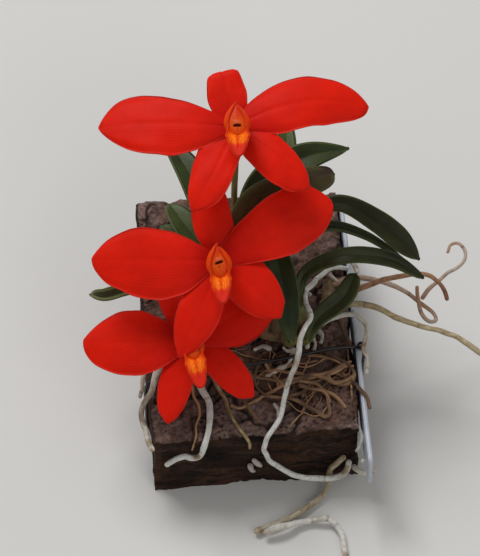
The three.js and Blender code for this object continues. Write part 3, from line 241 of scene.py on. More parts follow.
DRY_ROOTS = [
    [(27.4, -20, 26.6), (25.5, -20.2, 26.8), (23.4, -21.4, 26.8), (20.4, -22.2, 26.6), (17, -22.4, 26.4),
     (13.6, -22.9, 26.2), (10.8, -23.6, 26.2), (8.4, -24.6, 26.1), (4.6, -26.6, 26), (2.4, -27.6, 26),
     (-2, -29.8, 26), (-4, -30.7, 26), (-6, -29.8, 26)],
    [(26.8, -20, 26.7), (27.4, -22.8, 26.9), (26.4, -25, 26.8), (24, -25.5, 26.5), (21.6, -24.4, 26.4),
     (20.2, -22.4, 26.5)],
    [(22.6, -21.6, 26.8), (24, -22.8, 26.7), (26.4, -25, 26.8), (28.6, -28, 28.2), (30.2, -30.6, 27.6),
     (31, -33, 26)],
    [(11.4, -23.6, 26.2), (15, -24.4, 26.4), (17, -25.1, 26.4), (19, -27, 26.3), (21, -28.2, 26.1),
     (22.6, -29.8, 26), (24, -32.2, 25.9)],
    [(2.8, -27.2, 26), (4.2, -27.6, 26), (8, -28.2, 26), (11.5, -29.8, 26), (14.4, -31.8, 26),
     (17, -33.7, 26), (18.6, -35, 26), (19.8, -34.6, 26), (20.1, -32.8, 26.1), (19.9, -30.6, 26.2),
     (20, -28, 26.2)],
    [(8, -28.2, 26), (10.6, -28, 26.1), (13.4, -27, 26.3), (15.4, -25.2, 26.4)],
    [(15.6, -15.4, 26.2), (18, -16, 26.5), (20.6, -17, 26.8), (24, -18.7, 26.9), (26.8, -20, 26.7)],
    [(-0.5, -20.6, 26), (1.4, -21.4, 26.1), (5, -22.4, 26.2), (8.4, -23.4, 26.2), (11, -23.8, 26.2)],
    [(2, -17.4, 26.2), (0.8, -21.2, 26.1), (1.2, -24.6, 26.1), (3, -27.4, 26)],
    [(4.2, -17.6, 26.2), (5.4, -21, 26.2), (8.2, -24.6, 26.1)],
    [(8.8, -23.5, 27), (12.8, -23.2, 27.4), (18.3, -22.6, 27.6), (22.5, -21.3, 27.4), (26.8, -19, 27.2)],
    [(18.6, -14.6, 27), (20.3, -15.4, 27.4), (24.1, -18.2, 27.8), (27.4, -21.7, 27)],
    [(18, -22.8, 27), (19.6, -23.6, 27.2), (22.1, -25.4, 27.2), (24.9, -25, 27.4), (27.6, -23.3, 27)],
    [(12.7, -25.4, 26.8), (16, -26.6, 27.2), (19.2, -28, 27), (20.4, -30.6, 26.4)],
    [(25.2, -5.4, 27), (25.7, -8.7, 27.8), (26.6, -11.6, 27.6), (27.2, -13.7, 26.6)],
    [(4, -19.6, 26.4), (8, -20.4, 27), (12, -21.6, 27.2), (15, -23, 26.8)],
    [(1, -21, 26), (-1.5, -24, 26.4), (-2.5, -28, 26.4), (-1, -32, 26), (1, -35, 25.6)],
]

# Pale broken root ends that lie on the bark among the dry roots and on its lower end
STUBS = [
    [(10.2, -11.6, 26.6), (11.4, -13.2, 26.6), (11.8, -15, 26.4)],
    [(17.4, -10.6, 27), (17.8, -12.4, 26.8), (17.2, -13.8, 26.6)],
    [(1.4, -12.6, 26.4), (3.6, -12, 26.6), (5.2, -12.8, 26.4)],
    [(5.2, -30.6, 26.2), (6.4, -32.6, 26.2), (6.2, -34.4, 26)],
    [(12.5, -13.5, 26.5), (10, -18, 26.5), (6.5, -20, 26.5), (4, -21.5, 26.2)],
    [(-0.6, -39.2, 12.2), (0.2, -39.9, 11.4), (1, -39.9, 10)],
    [(-1.6, -39.2, 9.4), (-1.4, -39.9, 8.4), (-0.8, -39.8, 7.4)],
    [(14.8, 2.9, 32), (16.1, 1.5, 32), (17.4, 0.5, 32)],
    [(15.4, -11.2, 28.2), (15.9, -12.5, 28.2), (15.5, -14.1, 28.2)],
    [(9.3, -13.3, 27.2), (10.3, -14.4, 27.2), (11.7, -14.2, 27.2)],
    [(29.8, 12.7, 28), (30.7, 11.3, 28), (31.1, 9.3, 28)],
    [(22.6, 9.6, 29.5), (23.8, 7.5, 29.5), (25.5, 5.8, 29.5)],
    [(18.9, -8.2, 27.2), (19.9, -9.9, 27.2), (19.4, -12.1, 27.2)],
]


# Arrays, curves and noise

def unit(vectors):
    """Vectors scaled to length one."""
    return vectors / np.maximum(np.linalg.norm(vectors, axis=-1, keepdims=True), 1e-12)


def ease(value, low, high):
    """0 below low and 1 above high, with a smooth S between: 3t^2 - 2t^3 of the share t of the way."""
    share = np.clip((value - low) / (high - low), 0, 1)
    return share * share * (3 - 2 * share)


def bell(value, width, power=2):
    """1 where value is 0 and less to either side: e to the minus power of value over width."""
    return np.exp(-(value / width) ** power)


def pulse(value, rise, full, fall, end):
    """Up along an S curve from rise to full, and down along another from fall to end."""
    return ease(value, rise, full) * (1 - ease(value, fall, end))


def blend(first, second, share):
    """first where share is 0 and second where it is 1; colours are blended point by point."""
    share = np.asarray(share, float)[..., None]
    return np.asarray(first, float) * (1 - share) + np.asarray(second, float) * share


def cell_value(i, j, seed):
    """A repeatable value from 0 to 1 for each whole cell: the fraction of a large sine."""
    wave = np.sin(i * 127.1 + j * 311.7 + seed * 74.7) * 43758.5453
    return wave - np.floor(wave)


def noise(x, y, seed):
    """Smooth noise from 0 to 1: the values of a cell's four corners, blended by an S curve."""
    i = np.floor(x)
    j = np.floor(y)
    sx = ease(x - i, 0, 1)
    sy = ease(y - j, 0, 1)
    low = cell_value(i, j, seed) * (1 - sx) + cell_value(i + 1, j, seed) * sx
    high = cell_value(i, j + 1, seed) * (1 - sx) + cell_value(i + 1, j + 1, seed) * sx
    return low * (1 - sy) + high * sy


def rough(x, y, seed, layers=4):
    """Layers of noise, each twice as fine and half as strong, centred on 0."""
    total = 0
    for k in range(layers):
        total = total + (noise(x * 2 ** k, y * 2 ** k, seed + k) - 0.5) * 0.5 ** k
    return total


def cells(x, y, seed):
    """Scattered points, one to a cell: distance to the nearest, the gap to the next, and its value."""
    i = np.floor(x)
    j = np.floor(y)
    nearest = np.full(np.shape(x), 9.0)
    second = np.full(np.shape(x), 9.0)
    value = np.zeros(np.shape(x))
    for di in (-1, 0, 1):
        for dj in (-1, 0, 1):
            px = i + di + 0.15 + 0.7 * cell_value(i + di, j + dj, seed)
            py = j + dj + 0.15 + 0.7 * cell_value(i + di, j + dj, seed + 1)
            distance = np.hypot(x - px, y - py)
            closer = distance < nearest
            second = np.where(closer, nearest, np.minimum(second, distance))
            value = np.where(closer, cell_value(i + di, j + dj, seed + 2), value)
            nearest = np.where(closer, distance, nearest)
    return nearest, second - nearest, value


def smooth_path(line, closed=False):
    """Centripetal Catmull-Rom curve through the points of line.

    Each stretch is a cubic, in 24 steps. Its end slopes come from the points on either side, weighed by
    the square roots of the distances between them.
    """
    points = np.array(line, float)
    if closed:
        before = np.roll(points, 1, axis=0)
        start = points
        end = np.roll(points, -1, axis=0)
        after = np.roll(points, -2, axis=0)
    else:
        padded = np.vstack([2 * points[0] - points[1], points, 2 * points[-1] - points[-2]])
        before, start, end, after = padded[:-3], padded[1:-2], padded[2:-1], padded[3:]
    gap_before = np.linalg.norm(start - before, axis=1)[:, None] ** 0.5
    gap = np.linalg.norm(end - start, axis=1)[:, None] ** 0.5
    gap_after = np.linalg.norm(after - end, axis=1)[:, None] ** 0.5
    middle = (end - start) / gap
    leaving = ((start - before) / gap_before - (end - before) / (gap_before + gap) + middle) * gap
    arriving = (middle - (after - start) / (gap + gap_after) + (after - end) / gap_after) * gap
    t = np.linspace(0, 1, 24, endpoint=False)[None, :, None]
    start, end, leaving, arriving = start[:, None], end[:, None], leaving[:, None], arriving[:, None]
    curve = (start + leaving * t + (3 * (end - start) - 2 * leaving - arriving) * t ** 2
             + (2 * (start - end) + leaving + arriving) * t ** 3)
    closing = points[:1] if closed else points[-1:]
    return np.vstack([curve.reshape(-1, 3), closing])


def lengths_of(curve):
    """Length along the curve up to each of its points."""
    steps = np.linalg.norm(np.diff(curve, axis=0), axis=1)
    return np.concatenate([[0], np.cumsum(steps)])


def at_length(curve, lengths, wanted):
    """Points of the curve at the wanted lengths along it."""
    return np.stack([np.interp(wanted, lengths, curve[:, k]) for k in range(3)], axis=-1)


def directions(curve, lengths, wanted, reach):
    """Directions of the curve, each from a point that far before a wanted length to one as far past it."""
    near = at_length(curve, lengths, np.maximum(wanted - reach, 0))
    far = at_length(curve, lengths, np.minimum(wanted + reach, lengths[-1]))
    return unit(far - near)


def stepped_line(start, tangents, length):
    """A line of the given length from start, in equal steps that add up the tangents."""
    steps = np.vstack([np.zeros(3), np.cumsum(tangents[:-1], axis=0)])
    return start + steps * length / (len(tangents) - 1)


def carried_sides(tangents, closed=False):
    """Two directions square to each tangent, carried along the path without twist.

    On a closed path the small turn that is left at the join is shared out along its length.
    """
    sides = np.empty_like(tangents)
    sides[0] = unit(np.cross(tangents[0], np.eye(3)[np.argmin(np.abs(tangents[0]))]))
    for i in range(1, len(tangents)):
        sides[i] = unit(sides[i - 1] - tangents[i] * np.dot(sides[i - 1], tangents[i]))
    others = np.cross(tangents, sides)
    if closed:
        last = unit(sides[-1] - tangents[0] * np.dot(sides[-1], tangents[0]))
        left = math.atan2(np.dot(np.cross(last, sides[0]), tangents[0]), np.dot(last, sides[0]))
        turn = (left * np.arange(len(tangents)) / len(tangents))[:, None]
        sides, others = (sides * np.cos(turn) + others * np.sin(turn),
                         others * np.cos(turn) - sides * np.sin(turn))
    return sides, others


# Surfaces

class Skin:
    """A surface: points in millimetres, faces, a chart of two numbers a point, and a colour a point."""

    def __init__(self, points, faces, chart, paint=None):
        self.points = points.reshape(-1, 3)
        self.faces = faces
        self.chart = chart.reshape(-1, 2)
        self.paint = None if paint is None else paint.reshape(-1, 3)


def joined(skins):
    """Several skins as one."""
    offsets = np.cumsum([0] + [len(skin.points) for skin in skins[:-1]])
    faces = [[tuple(corner + offset for corner in face) for face in skin.faces]
             for skin, offset in zip(skins, offsets.tolist())]
    return Skin(np.vstack([skin.points for skin in skins]), [f for group in faces for f in group],
                np.vstack([skin.chart for skin in skins]), np.vstack([skin.paint for skin in skins]))


def grid_faces(index):
    """Four-sided faces between neighbours of a grid of point numbers."""
    corners = np.stack([index[:-1, :-1], index[1:, :-1], index[1:, 1:], index[:-1, 1:]], axis=-1)
    return corners.reshape(-1, 4)


def fan(centre, ring):
    """Triangles from a centre to the sides of a closed ring of point numbers."""
    return [(centre, a, b) for a, b in zip(ring.tolist(), np.roll(ring, -1).tolist())]


def facing_out(points, faces):
    """The faces, turned over if the closed surface's volume by the divergence theorem is negative."""
    triangles = np.array([(f[0], f[k], f[k + 1]) for f in faces for k in range(1, len(f) - 1)])
    a, b, c = points[triangles[:, 0]], points[triangles[:, 1]], points[triangles[:, 2]]
    volume = np.einsum("ij,ij->i", a, np.cross(b, c)).sum()
    return faces if volume > 0 else [f[::-1] for f in faces]


def tube_skin(line, radius_at, sides=14, spacing=0.6, closed=False, bend=0.0, seed=0):
    """A tube: rings of points at distance radius_at(length, angle) from a smooth path.

    bend moves the path sideways by that much noise. An open end closes in a half-round tip, whose rings
    stand off by the sine and shrink by the cosine of an angle. The chart holds the length along the
    path and the angle round it.
    """
    curve = smooth_path(line, closed)
    lengths = lengths_of(curve)
    total = lengths[-1]
    count = max(6, int(total / spacing))
    along = np.linspace(0, total, count, endpoint=not closed)
    tip = np.linspace(0, math.pi / 2, 5)[1:-1]
    if closed:
        shrink = np.ones(count)
        shift = np.zeros(count)
    else:
        along = np.concatenate([np.zeros(3), along, np.full(3, total)])
        shrink = np.concatenate([np.cos(tip)[::-1], np.ones(count), np.cos(tip)])
        shift = np.concatenate([-np.sin(tip)[::-1], np.zeros(count), np.sin(tip)])
    tangents = directions(curve, lengths, along, 0.25)
    first, second = carried_sides(tangents, closed)
    angle = np.linspace(0, 2 * math.pi, sides, endpoint=False)
    radius = radius_at(along[:, None], angle[None, :]) * np.ones((len(along), sides))
    centres = at_length(curve, lengths, along) + tangents * (shift * radius.mean(axis=1))[:, None]
    centres = centres + bend * (first * (noise(along / 3.1, seed, 5) - 0.5)[:, None]
                                + second * (noise(along / 2.6, seed, 9) - 0.5)[:, None])
    ring = first[:, None] * np.cos(angle)[None, :, None] + second[:, None] * np.sin(angle)[None, :, None]
    points = (centres[:, None] + ring * (radius * shrink[:, None])[..., None]).reshape(-1, 3)
    chart = np.stack(np.broadcast_arrays(along[:, None], angle[None, :]), axis=-1).reshape(-1, 2)
    index = np.arange(len(points)).reshape(len(along), sides)
    wrapped = np.hstack([index, index[:, :1]])
    if closed:
        wrapped = np.vstack([wrapped, wrapped[:1]])
    faces = [tuple(f) for f in grid_faces(wrapped).tolist()]
    if not closed:
        flat_end = 1 - np.sin(tip)[-1]
        poles = [centres[k] + way * tangents[k] * radius[k].mean() * flat_end
                 for k, way in ((0, -1), (-1, 1))]
        faces += fan(len(points), index[0]) + fan(len(points) + 1, index[-1, ::-1])
        points = np.vstack([points, poles])
        chart = np.vstack([chart, [[0, 0], [total, 0]]])
    return Skin(points, facing_out(points, faces), chart)


def sheet_skin(middle, thickness, front_paint, back_paint):
    """A closed blade about a grid of middle points.

    Front and back stand half the thickness off along the cross product of the grid's two gradients. Its
    rim is a half circle of that radius, carried round the grid's border. The chart holds the way across
    and the way along, both from 0 to 1.
    """
    rows, columns = middle.shape[:2]
    u, v = grid(rows, columns)
    chart = np.stack([(v + 1) / 2, u], axis=-1).reshape(-1, 2)
    normal = unit(np.cross(np.gradient(middle, axis=0), np.gradient(middle, axis=1)))
    half = np.broadcast_to(thickness, middle.shape[:2])[..., None] / 2
    index = np.arange(rows * columns).reshape(rows, columns)
    border = np.concatenate([index[0, :-1], index[:-1, -1], index[-1, :0:-1], index[:0:-1, 0]])
    row, column = np.divmod(border, columns)
    inner = middle[np.clip(row, 1, rows - 2), np.clip(column, 1, columns - 2)]
    edge = middle.reshape(-1, 3)[border]
    up = normal.reshape(-1, 3)[border]
    outward = unit(edge - inner)
    outward = unit(outward - up * np.sum(outward * up, axis=1, keepdims=True))
    reach = half.reshape(-1, 1)[border]
    rims = [edge + reach * (outward * math.cos(a) + up * math.sin(a))
            for a in (math.pi / 4, 0, -math.pi / 4)]
    points = np.vstack([(middle + normal * half).reshape(-1, 3), *rims,
                        (middle - normal * half).reshape(-1, 3)])
    size, length = rows * columns, len(border)
    loops = np.vstack([border, *(size + k * length + np.arange(length) for k in range(3)),
                       border + size + 3 * length])
    strip = grid_faces(np.hstack([loops, loops[:, :1]]))
    blades = np.vstack([grid_faces(index), grid_faces(index + size + 3 * length)[:, ::-1]])
    faces = [tuple(f) for f in np.vstack([blades, strip]).tolist()]
    turned = facing_out(points, faces[:len(blades)])
    if turned[0] != faces[0]:
        faces = [f[::-1] for f in faces]
    front, back = front_paint.reshape(-1, 3), back_paint.reshape(-1, 3)
    paint = np.vstack([front, front[border], front[border], back[border], back])
    return Skin(points, faces, np.vstack([chart, *[chart[border]] * 3, chart]), paint)


def make_piece(name, skin, finish, slot, *nodes):
    """A smooth-shaded object at the origin from a skin, riding on the frame in place of CAD nodes."""
    mesh = bpy.data.meshes.new(name)
    mesh.from_pydata((skin.points * MM).tolist(), [], skin.faces)
    corners = np.empty(len(mesh.loops), np.int32)
    mesh.loops.foreach_get("vertex_index", corners)
    uv_map = mesh.uv_layers.new(name="UVMap")
    uv_map.data.foreach_set("uv", skin.chart[corners].astype(np.float32).ravel())
    paint = mesh.attributes.new("paint", "FLOAT_COLOR", "POINT")
    colours = np.hstack([np.clip(skin.paint, 0, 1), np.ones((len(skin.points), 1))])
    paint.data.foreach_set("color", colours.astype(np.float32).ravel())
    mesh.polygons.foreach_set("use_smooth", np.ones(len(mesh.polygons), bool))
    mesh.materials.append(finish)
    mesh.update()
    piece = bpy.data.objects.new(name, mesh)
    bpy.context.scene.collection.objects.link(piece)
    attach(piece, "root")
    if nodes:
        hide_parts(*nodes)


def plain_paint(skin, colour):
    """The skin, painted in one colour."""
    skin.paint = np.tile(np.asarray(colour, float), (len(skin.points), 1))
    return skin


def blade_width(share, widest, base, tip, rise=1):
    """Width along a petal or leaf: a power of a quarter sine, then past the widest place of a cosine."""
    rising = base + (1 - base) * np.sin(math.pi / 2 * np.minimum(share / widest, 1)) ** rise
    angle = math.pi / 2 * np.clip((share - widest) / (1 - widest), 0, 1)
    falling = np.maximum(np.cos(angle), 1e-9) ** tip
    return np.where(share < widest, rising, falling)


def grid(rows, columns):
    """Two parameters on a grid: u from 0 to 1 along its rows and v from -1 to 1 across its columns."""
    return np.meshgrid(np.linspace(0, 1, rows), np.linspace(-1, 1, columns), indexing="ij")


def crowded(u):
    """u drawn towards 1 by a power, so that the rows of a blade stand closer near its tip."""
    return 1 - (1 - u) ** 1.35


# Flowers

def flower_turn(flower):
    """The rotation of a flower: its turns about X, Y and Z, in that order from the outside in."""
    x, y, z = (Matrix.Rotation(math.radians(angle), 3, axis)
               for angle, axis in zip(flower["turns"], "XYZ"))
    return np.array(x @ y @ z)


def placed(flower, points):
    """Points of a flower's own frame, turned and moved to its centre."""
    return points @ flower_turn(flower).T + np.array(flower["centre"], float)


def tepal_middle(tepal, level, u, v):
    """A petal's or sepal's middle surface.

    Its midline leaves the ovary at an angle and a pitch and turns evenly in both. Across it the blade
    is cupped by the square of v, rippled by a sine that grows to the rim, and creased by a narrow bell
    along the midrib. Its two sides differ in width and in the place and bluntness of their widest part.
    """
    foot, thinnest = 0.9, 0.35
    pointed = 0.32 if level == SEPAL_LEVEL else 0.08
    share = np.linspace(0, 1, 49)
    turn = np.radians(tepal["angle"] + tepal["bend"] * share)
    hook = tepal.get("hook", 0) * ease(share, 0.52, 0.66)
    pitch = np.radians(tepal["pitch"] + tepal["curl"] * share + hook)
    flat = np.zeros_like(turn)
    ahead = np.stack([np.cos(turn), np.sin(turn), flat], axis=1)
    side = np.stack([-np.sin(turn), np.cos(turn), flat], axis=1)
    upward = np.array([0.0, 0.0, 1.0])
    tangent = ahead * np.cos(pitch)[:, None] + upward * np.sin(pitch)[:, None]
    lift = upward * np.cos(pitch)[:, None] - ahead * np.sin(pitch)[:, None]
    heading = math.radians(tepal["angle"])
    start = np.array([foot * math.cos(heading), foot * math.sin(heading), level])
    line = stepped_line(start, tangent, tepal["length"])
    t = crowded(u)
    point, side, lift = (at_length(values, share, t) for values in (line, side, lift))
    half, widest, tip = (np.where(v < 0, *tepal[key]) for key in ("half", "widest", "tip"))
    width = half * blade_width(t, widest, tepal["base"], tip) * (1 - pointed * ease(t, 0.88, 1))
    notch = 1 + 0.05 * (noise(t * 9, np.sign(v) + 3, tepal["angle"]) - 0.5) * ease(np.abs(v), 0.5, 1)
    width = np.maximum(thinnest, width) * notch
    cup = tepal["cup"] * width * v * v
    wave = tepal["ripple"] * np.sin(9 * t + 2.2 * v + tepal["angle"]) * v * v * np.sin(math.pi * t)
    flutter = 0.4 * (noise(t * 7, v * 1.5 + 4, tepal["angle"] + 2) - 0.5) * np.abs(v) * ease(t, 0.1, 0.4)
    crease = -0.12 * np.exp(-v * v / 0.012) * np.minimum(1, width / 3) * (1 - ease(t, 0.6, 0.95))
    lifted = (cup + wave + flutter + crease)[..., None]
    return point + side * (v * width)[..., None] + lift * lifted


def tepal_paint(settings, u, v, seed):
    """Front and back colours: painted shade at the throat, uneven over the blade, pinker at its very rim.
    """
    uneven = np.clip(0.5 + 1.1 * rough(u * 3, v * 1.5 + 7, seed), 0, 1)
    # The darker red mixed in here is painted shade at the throat, and uneven patches over the blade
    shade_and_patches = np.clip(0.75 * bell(u, 0.16) + 0.22 * uneven, 0, 1)
    front = blend(settings.petal_colour, settings.petal_shade_colour, shade_and_patches)
    outer = np.maximum(ease(np.abs(v), 0.93, 1), ease(u, 0.965, 1))
    front = blend(front, settings.petal_rim_colour, 0.55 * outer)
    return front, blend(front, settings.petal_rim_colour, 0.5)


def lip_middle(lip, u, v):
    """The lip's middle surface: a sheet rolled by the angle wrap about the column, then opening out.

    Its midline runs forward and droops. The roll has radius width / wrap, and near its meeting edges it
    is drawn up into a hood by the fourth power of the angle. It sways to one side from its base, and is
    turned a little about the flower's axis.
    """
    first_droop, shut_wrap, open_wrap = 26, 3.12, 0.45
    share = np.linspace(0, 1, 41)
    open_share = np.clip((share - TUBE_SHARE) / 0.3, 0, 1)
    turn = np.radians(first_droop + (lip["droop"] - first_droop) * open_share)
    flat = np.zeros_like(turn)
    tangent = np.stack([flat, -np.sin(turn), np.cos(turn)], axis=1)
    inward = np.stack([flat, np.cos(turn * 0.4), np.sin(turn * 0.4)], axis=1)
    line = stepped_line(np.array([0, -1.9, LIP_LEVEL]), tangent, lip["length"])
    point, inward = (at_length(values, share, u) for values in (line, inward))
    opening = ease(u, TUBE_SHARE, TUBE_SHARE + 0.2)
    up_tube = np.clip(u / TUBE_SHARE, 0, 1)
    wrap = shut_wrap + (open_wrap - shut_wrap) * opening
    tube = TUBE_RADIUS + (lip["mouth"] - TUBE_RADIUS) * up_tube
    tongue = lip["half"] * np.clip((1 - u) / lip["taper"], 0, 1) ** lip["power"] + 0.35
    width = tube * wrap * (1 - opening) + tongue * opening
    radius = width / wrap * (1 - 0.05 * v * (1 - opening))
    angle = v * wrap
    peak = 1 + lip["peak"] * (np.abs(angle) / math.pi) ** 4
    point = point + np.stack([radius * np.sin(angle) + lip["sway"] * up_tube, 0 * u, 0 * u], axis=-1)
    ridge = 0.35 * bell(np.abs(v) - 0.22, 0.12) * pulse(u, 0.45, 0.6, 0.75, 0.9)
    point = point + inward * (radius * (1 - np.cos(angle) * peak) + ridge)[..., None]
    return point @ np.array(Matrix.Rotation(math.radians(lip["turn"]), 3, "Z")).T


def lip_paint(settings, u, v):
    """Orange hood, two yellow patches with red veins between them, and a red tip."""
    orange, red = np.array(settings.lip_orange), np.array(settings.lip_red)
    colour = blend(orange * 0.82, orange, ease(u, 0.0, 0.35))
    flush = 0.8 * bell(np.abs(v) - 1, 0.35) * (1 - ease(u, 0.45, 0.6))
    colour = blend(colour, red, flush)
    patch = bell(np.abs(v) - 0.4, 0.34) * pulse(u, 0.46, 0.55, 0.7, 0.8)
    colour = blend(colour, settings.lip_yellow, np.clip(1.15 * patch, 0, 1))
    across = np.abs(v) * 4.6 - 7 * (u - 0.5) + 0.5 * np.sin(u * 31)
    veins = np.maximum(0, np.cos(across * math.pi)) ** 6 * pulse(u, 0.52, 0.6, 0.8, 0.9)
    colour = blend(colour, red, 0.75 * veins)
    middle = bell(v, 0.06) * pulse(u, 0.4, 0.5, 0.85, 0.95)
    colour = blend(colour, red * 0.7, 0.8 * middle)
    colour = blend(colour, red, 0.92 * ease(u + 0.04 * np.cos(v * 9), 0.69, 0.8))
    return colour, blend(colour, orange, 0.6)


def column_skin(settings, lip):
    """The column: a peg that widens to fill the hood's mouth, with the anther cap over a slit.

    Its sections run from a circle at the foot to the outline of the mouth, drawn in a little, and then
    shrink to a point over a dome. The cap is a bell on that dome, and the slit under it is pressed in.
    The slit and a line under it take a painted shadow. The chart holds the share of the way and the angle.
    """
    rows, columns = 96, 84
    fill, foot_height, foot_radius, dome_height = 0.99, 0.3, 1.2, 0.75
    share = np.linspace(0, 1, rows)[:, None, None]
    angle = np.linspace(-math.pi, math.pi, columns + 1)[:-1]
    mouth = lip_middle(lip, TUBE_SHARE * (1.02 + 0.14 * (1 + np.cos(angle))), angle / math.pi)
    centre = mouth.mean(axis=0)
    ring = centre + (mouth - centre) * fill
    droop = math.radians(COLUMN_DROOP)
    up = np.array([0, math.cos(droop), math.sin(droop)])
    across = np.array([1.0, 0, 0])
    foot = np.array([0, -math.sin(droop), math.cos(droop)]) * foot_height
    circle = foot + foot_radius * (np.sin(angle)[:, None] * across - np.cos(angle)[:, None] * up)
    left, right = mouth[columns // 4], mouth[3 * columns // 4]
    out = unit(np.cross(left - right, mouth[0] - mouth[columns // 2]))
    out = out * np.sign(out[2])
    lean = unit(np.cross(out, unit(right - left)))
    lean = lean * np.sign(lean[1])
    shrink = np.clip(2 - 2 * share, 0, 1)
    loft = ease(share, 0.02, 0.46)
    points = circle * (1 - loft) + (centre + (ring - centre) * shrink) * loft
    points = points + out * dome_height * (1 - shrink ** 3)
    sideways = (points - centre) @ np.cross(lean, out)
    heights = (ring - centre) @ lean
    above = (points - centre) @ lean - heights.min() - lip["level"] * (heights.max() - heights.min())
    above = above - math.tan(math.radians(lip["slant"])) * sideways
    facing = ease(share[..., 0], 0.5, 0.56)
    slit = bell(sideways, 1.0, 4) * bell(above + 0.1 * sideways ** 2, 0.34, 4) * facing
    cap = bell(sideways, 0.85, 4) * bell(above - 0.8, 0.52, 4) * facing
    points = points + out * (0.22 * cap - 0.6 * slit)[..., None]
    glow = bell(sideways, 1.9) * bell(above + 0.1, 1.9) * facing
    colour = blend(np.array(settings.lip_orange) * 0.78, settings.lip_yellow, 0.22 * glow)
    # Redder towards the top: partly the hood's own red, partly painted shade inside the hood's top
    colour = blend(colour, settings.lip_red, 0.55 * ease(above, 1.2, 4.2))
    colour = blend(colour, settings.cap_colour, 0.7 * cap)
    line = bell(sideways, 0.16) * facing * pulse(-above, 0.3, 0.6, 1.2, 1.9)
    # The slit and a short line under it are painted near black: a painted shadow in the cavity
    colour = blend(colour, settings.slit_shadow_colour, np.clip(1.6 * slit + 0.5 * line, 0, 1))
    chart = np.stack(np.broadcast_arrays(share[..., 0] * 8, angle), axis=-1)

    def capped(values, foot_value):
        """The rows as one list, with a single point for the last row and one more for the foot."""
        return np.vstack([values[:-1].reshape(-1, values.shape[-1]), values[-1, :1], foot_value])

    points = capped(points, points[0].mean(axis=0))
    index = np.arange(len(points) - 2).reshape(rows - 1, columns)
    faces = [tuple(f) for f in grid_faces(np.hstack([index, index[:, :1]])).tolist()]
    faces += fan(len(points) - 2, index[-1]) + fan(len(points) - 1, index[0, ::-1])
    chart, colour = capped(chart, chart[0, :1]), capped(colour, colour[0, :1])
    return Skin(points, facing_out(points, faces), chart, colour)


def stalk_skin(settings, flower):
    """The stalk and ovary: a tube that swells in an S curve over its last stretch, grooved at the top."""
    ends = placed(flower, np.array([[0, 0, -OVARY_LENGTH], [0, 0, -OVARY_LENGTH / 2], [0, 0, -0.5]]))
    line = [*flower["stalk"], *ends.tolist()]
    total = lengths_of(smooth_path(line))[-1]
    thin = settings.stalk_radius / MM
    thick = settings.ovary_radius / MM

    def radius_at(along, angle):
        swell = ease(OVARY_LENGTH + 2 - (total - along), 0, 8)
        ribs = 1 + 0.06 * swell * np.cos(6 * angle)
        return (thin + (thick - thin) * swell) * ribs

    skin = tube_skin(line, radius_at, sides=18, spacing=0.6, bend=0.15)
    along = skin.chart[:, 0]
    flush = ease(along, total - 12, total - 1)
    colour = blend(settings.stalk_colour, settings.ovary_colour, 0.8 * flush)
    speckle = ease(noise(along * 1.7, skin.chart[:, 1] * 2, 4), 0.7, 0.9)
    skin.paint = blend(colour, settings.ovary_colour, 0.25 * speckle)
    return skin


# Leaves, bulbs and roots

def leaf_skin(settings, leaf, seed):
    """A thick blade folded along its midline: a V whose foot is rounded by a square root."""
    u, v = grid(*LEAF_GRID)
    curve = smooth_path(leaf["line"])
    lengths = lengths_of(curve)
    t = crowded(u)
    wanted = t * lengths[-1]
    middle = at_length(curve, lengths, wanted)
    along = directions(curve, lengths, wanted, 0.6)
    side = unit(np.cross(unit(np.array(leaf["up"], float)), along))
    lift = np.cross(along, side)
    width = leaf["half"] * blade_width(t, leaf["widest"], leaf["base"], leaf["tip"], leaf["rise"])
    width = np.maximum(0.3, width) * (1 + 0.03 * (noise(t * 6, np.sign(v) + 2, seed) - 0.5))
    openness = math.cos(math.atan(leaf["fold"]))
    rise = leaf["fold"] * openness * width * np.sqrt(v * v + 0.006)
    wave = 0.3 * (noise(t * 4, v + 2, seed + 3) - 0.5) * np.abs(v)
    points = middle + side * (v * width * openness)[..., None] + lift * (rise + wave)[..., None]
    full, rim = settings.leaf_thickness / MM, settings.leaf_rim_thickness / MM
    thickness = (full + (rim - full) * v * v) * (1 - 0.35 * ease(u, 0.9, 1))
    return sheet_skin(points, thickness, *leaf_paint(settings, leaf, seed, u, v))


def leaf_paint(settings, leaf, seed, u, v):
    """Front and back colours: a mottled green, paler at the foot and the rim and darker on the midrib."""
    tint = settings.leaf_olive_colour if leaf["warm"] > 0 else settings.leaf_cool_colour
    # The green times shade: partly the leaf's own tone, partly painted light and shade for how lit it lies
    green = blend(settings.leaf_colour, tint, abs(leaf["warm"])) * leaf["shade"]
    green = green * (1 + 0.5 * rough(u * 8, v * 2 + 5, seed + 7))[..., None]
    pale = leaf.get("pale", 0.3)
    places = [0.5 * (1 - ease(u, 0.02, 0.16)), pale * ease(np.abs(v), 1 - 0.3 * pale, 1 - 0.1 * pale)]
    if "pale" in leaf:
        places.append(pale * ease(u, 0.93, 0.97))
    for share in places:
        green = blend(green, settings.leaf_pale_colour, share)
    rib = bell(v, 0.05)
    front = blend(green, np.array(settings.leaf_colour) * 0.5, 0.5 * rib)
    back = blend(green * 1.15, settings.leaf_pale_colour, 0.25 * rib)
    if "corner" in leaf:
        spot = ease(u + 0.05 * rough(u * 7, v * 3, seed + 9), 1 - leaf["corner"], 1 - leaf["corner"] / 2)
        spot = 0.9 * spot * ease(v, 0.1, 0.4)
        front, back = (blend(side, settings.leaf_scar_colour, spot) for side in (front, back))
    return front, back


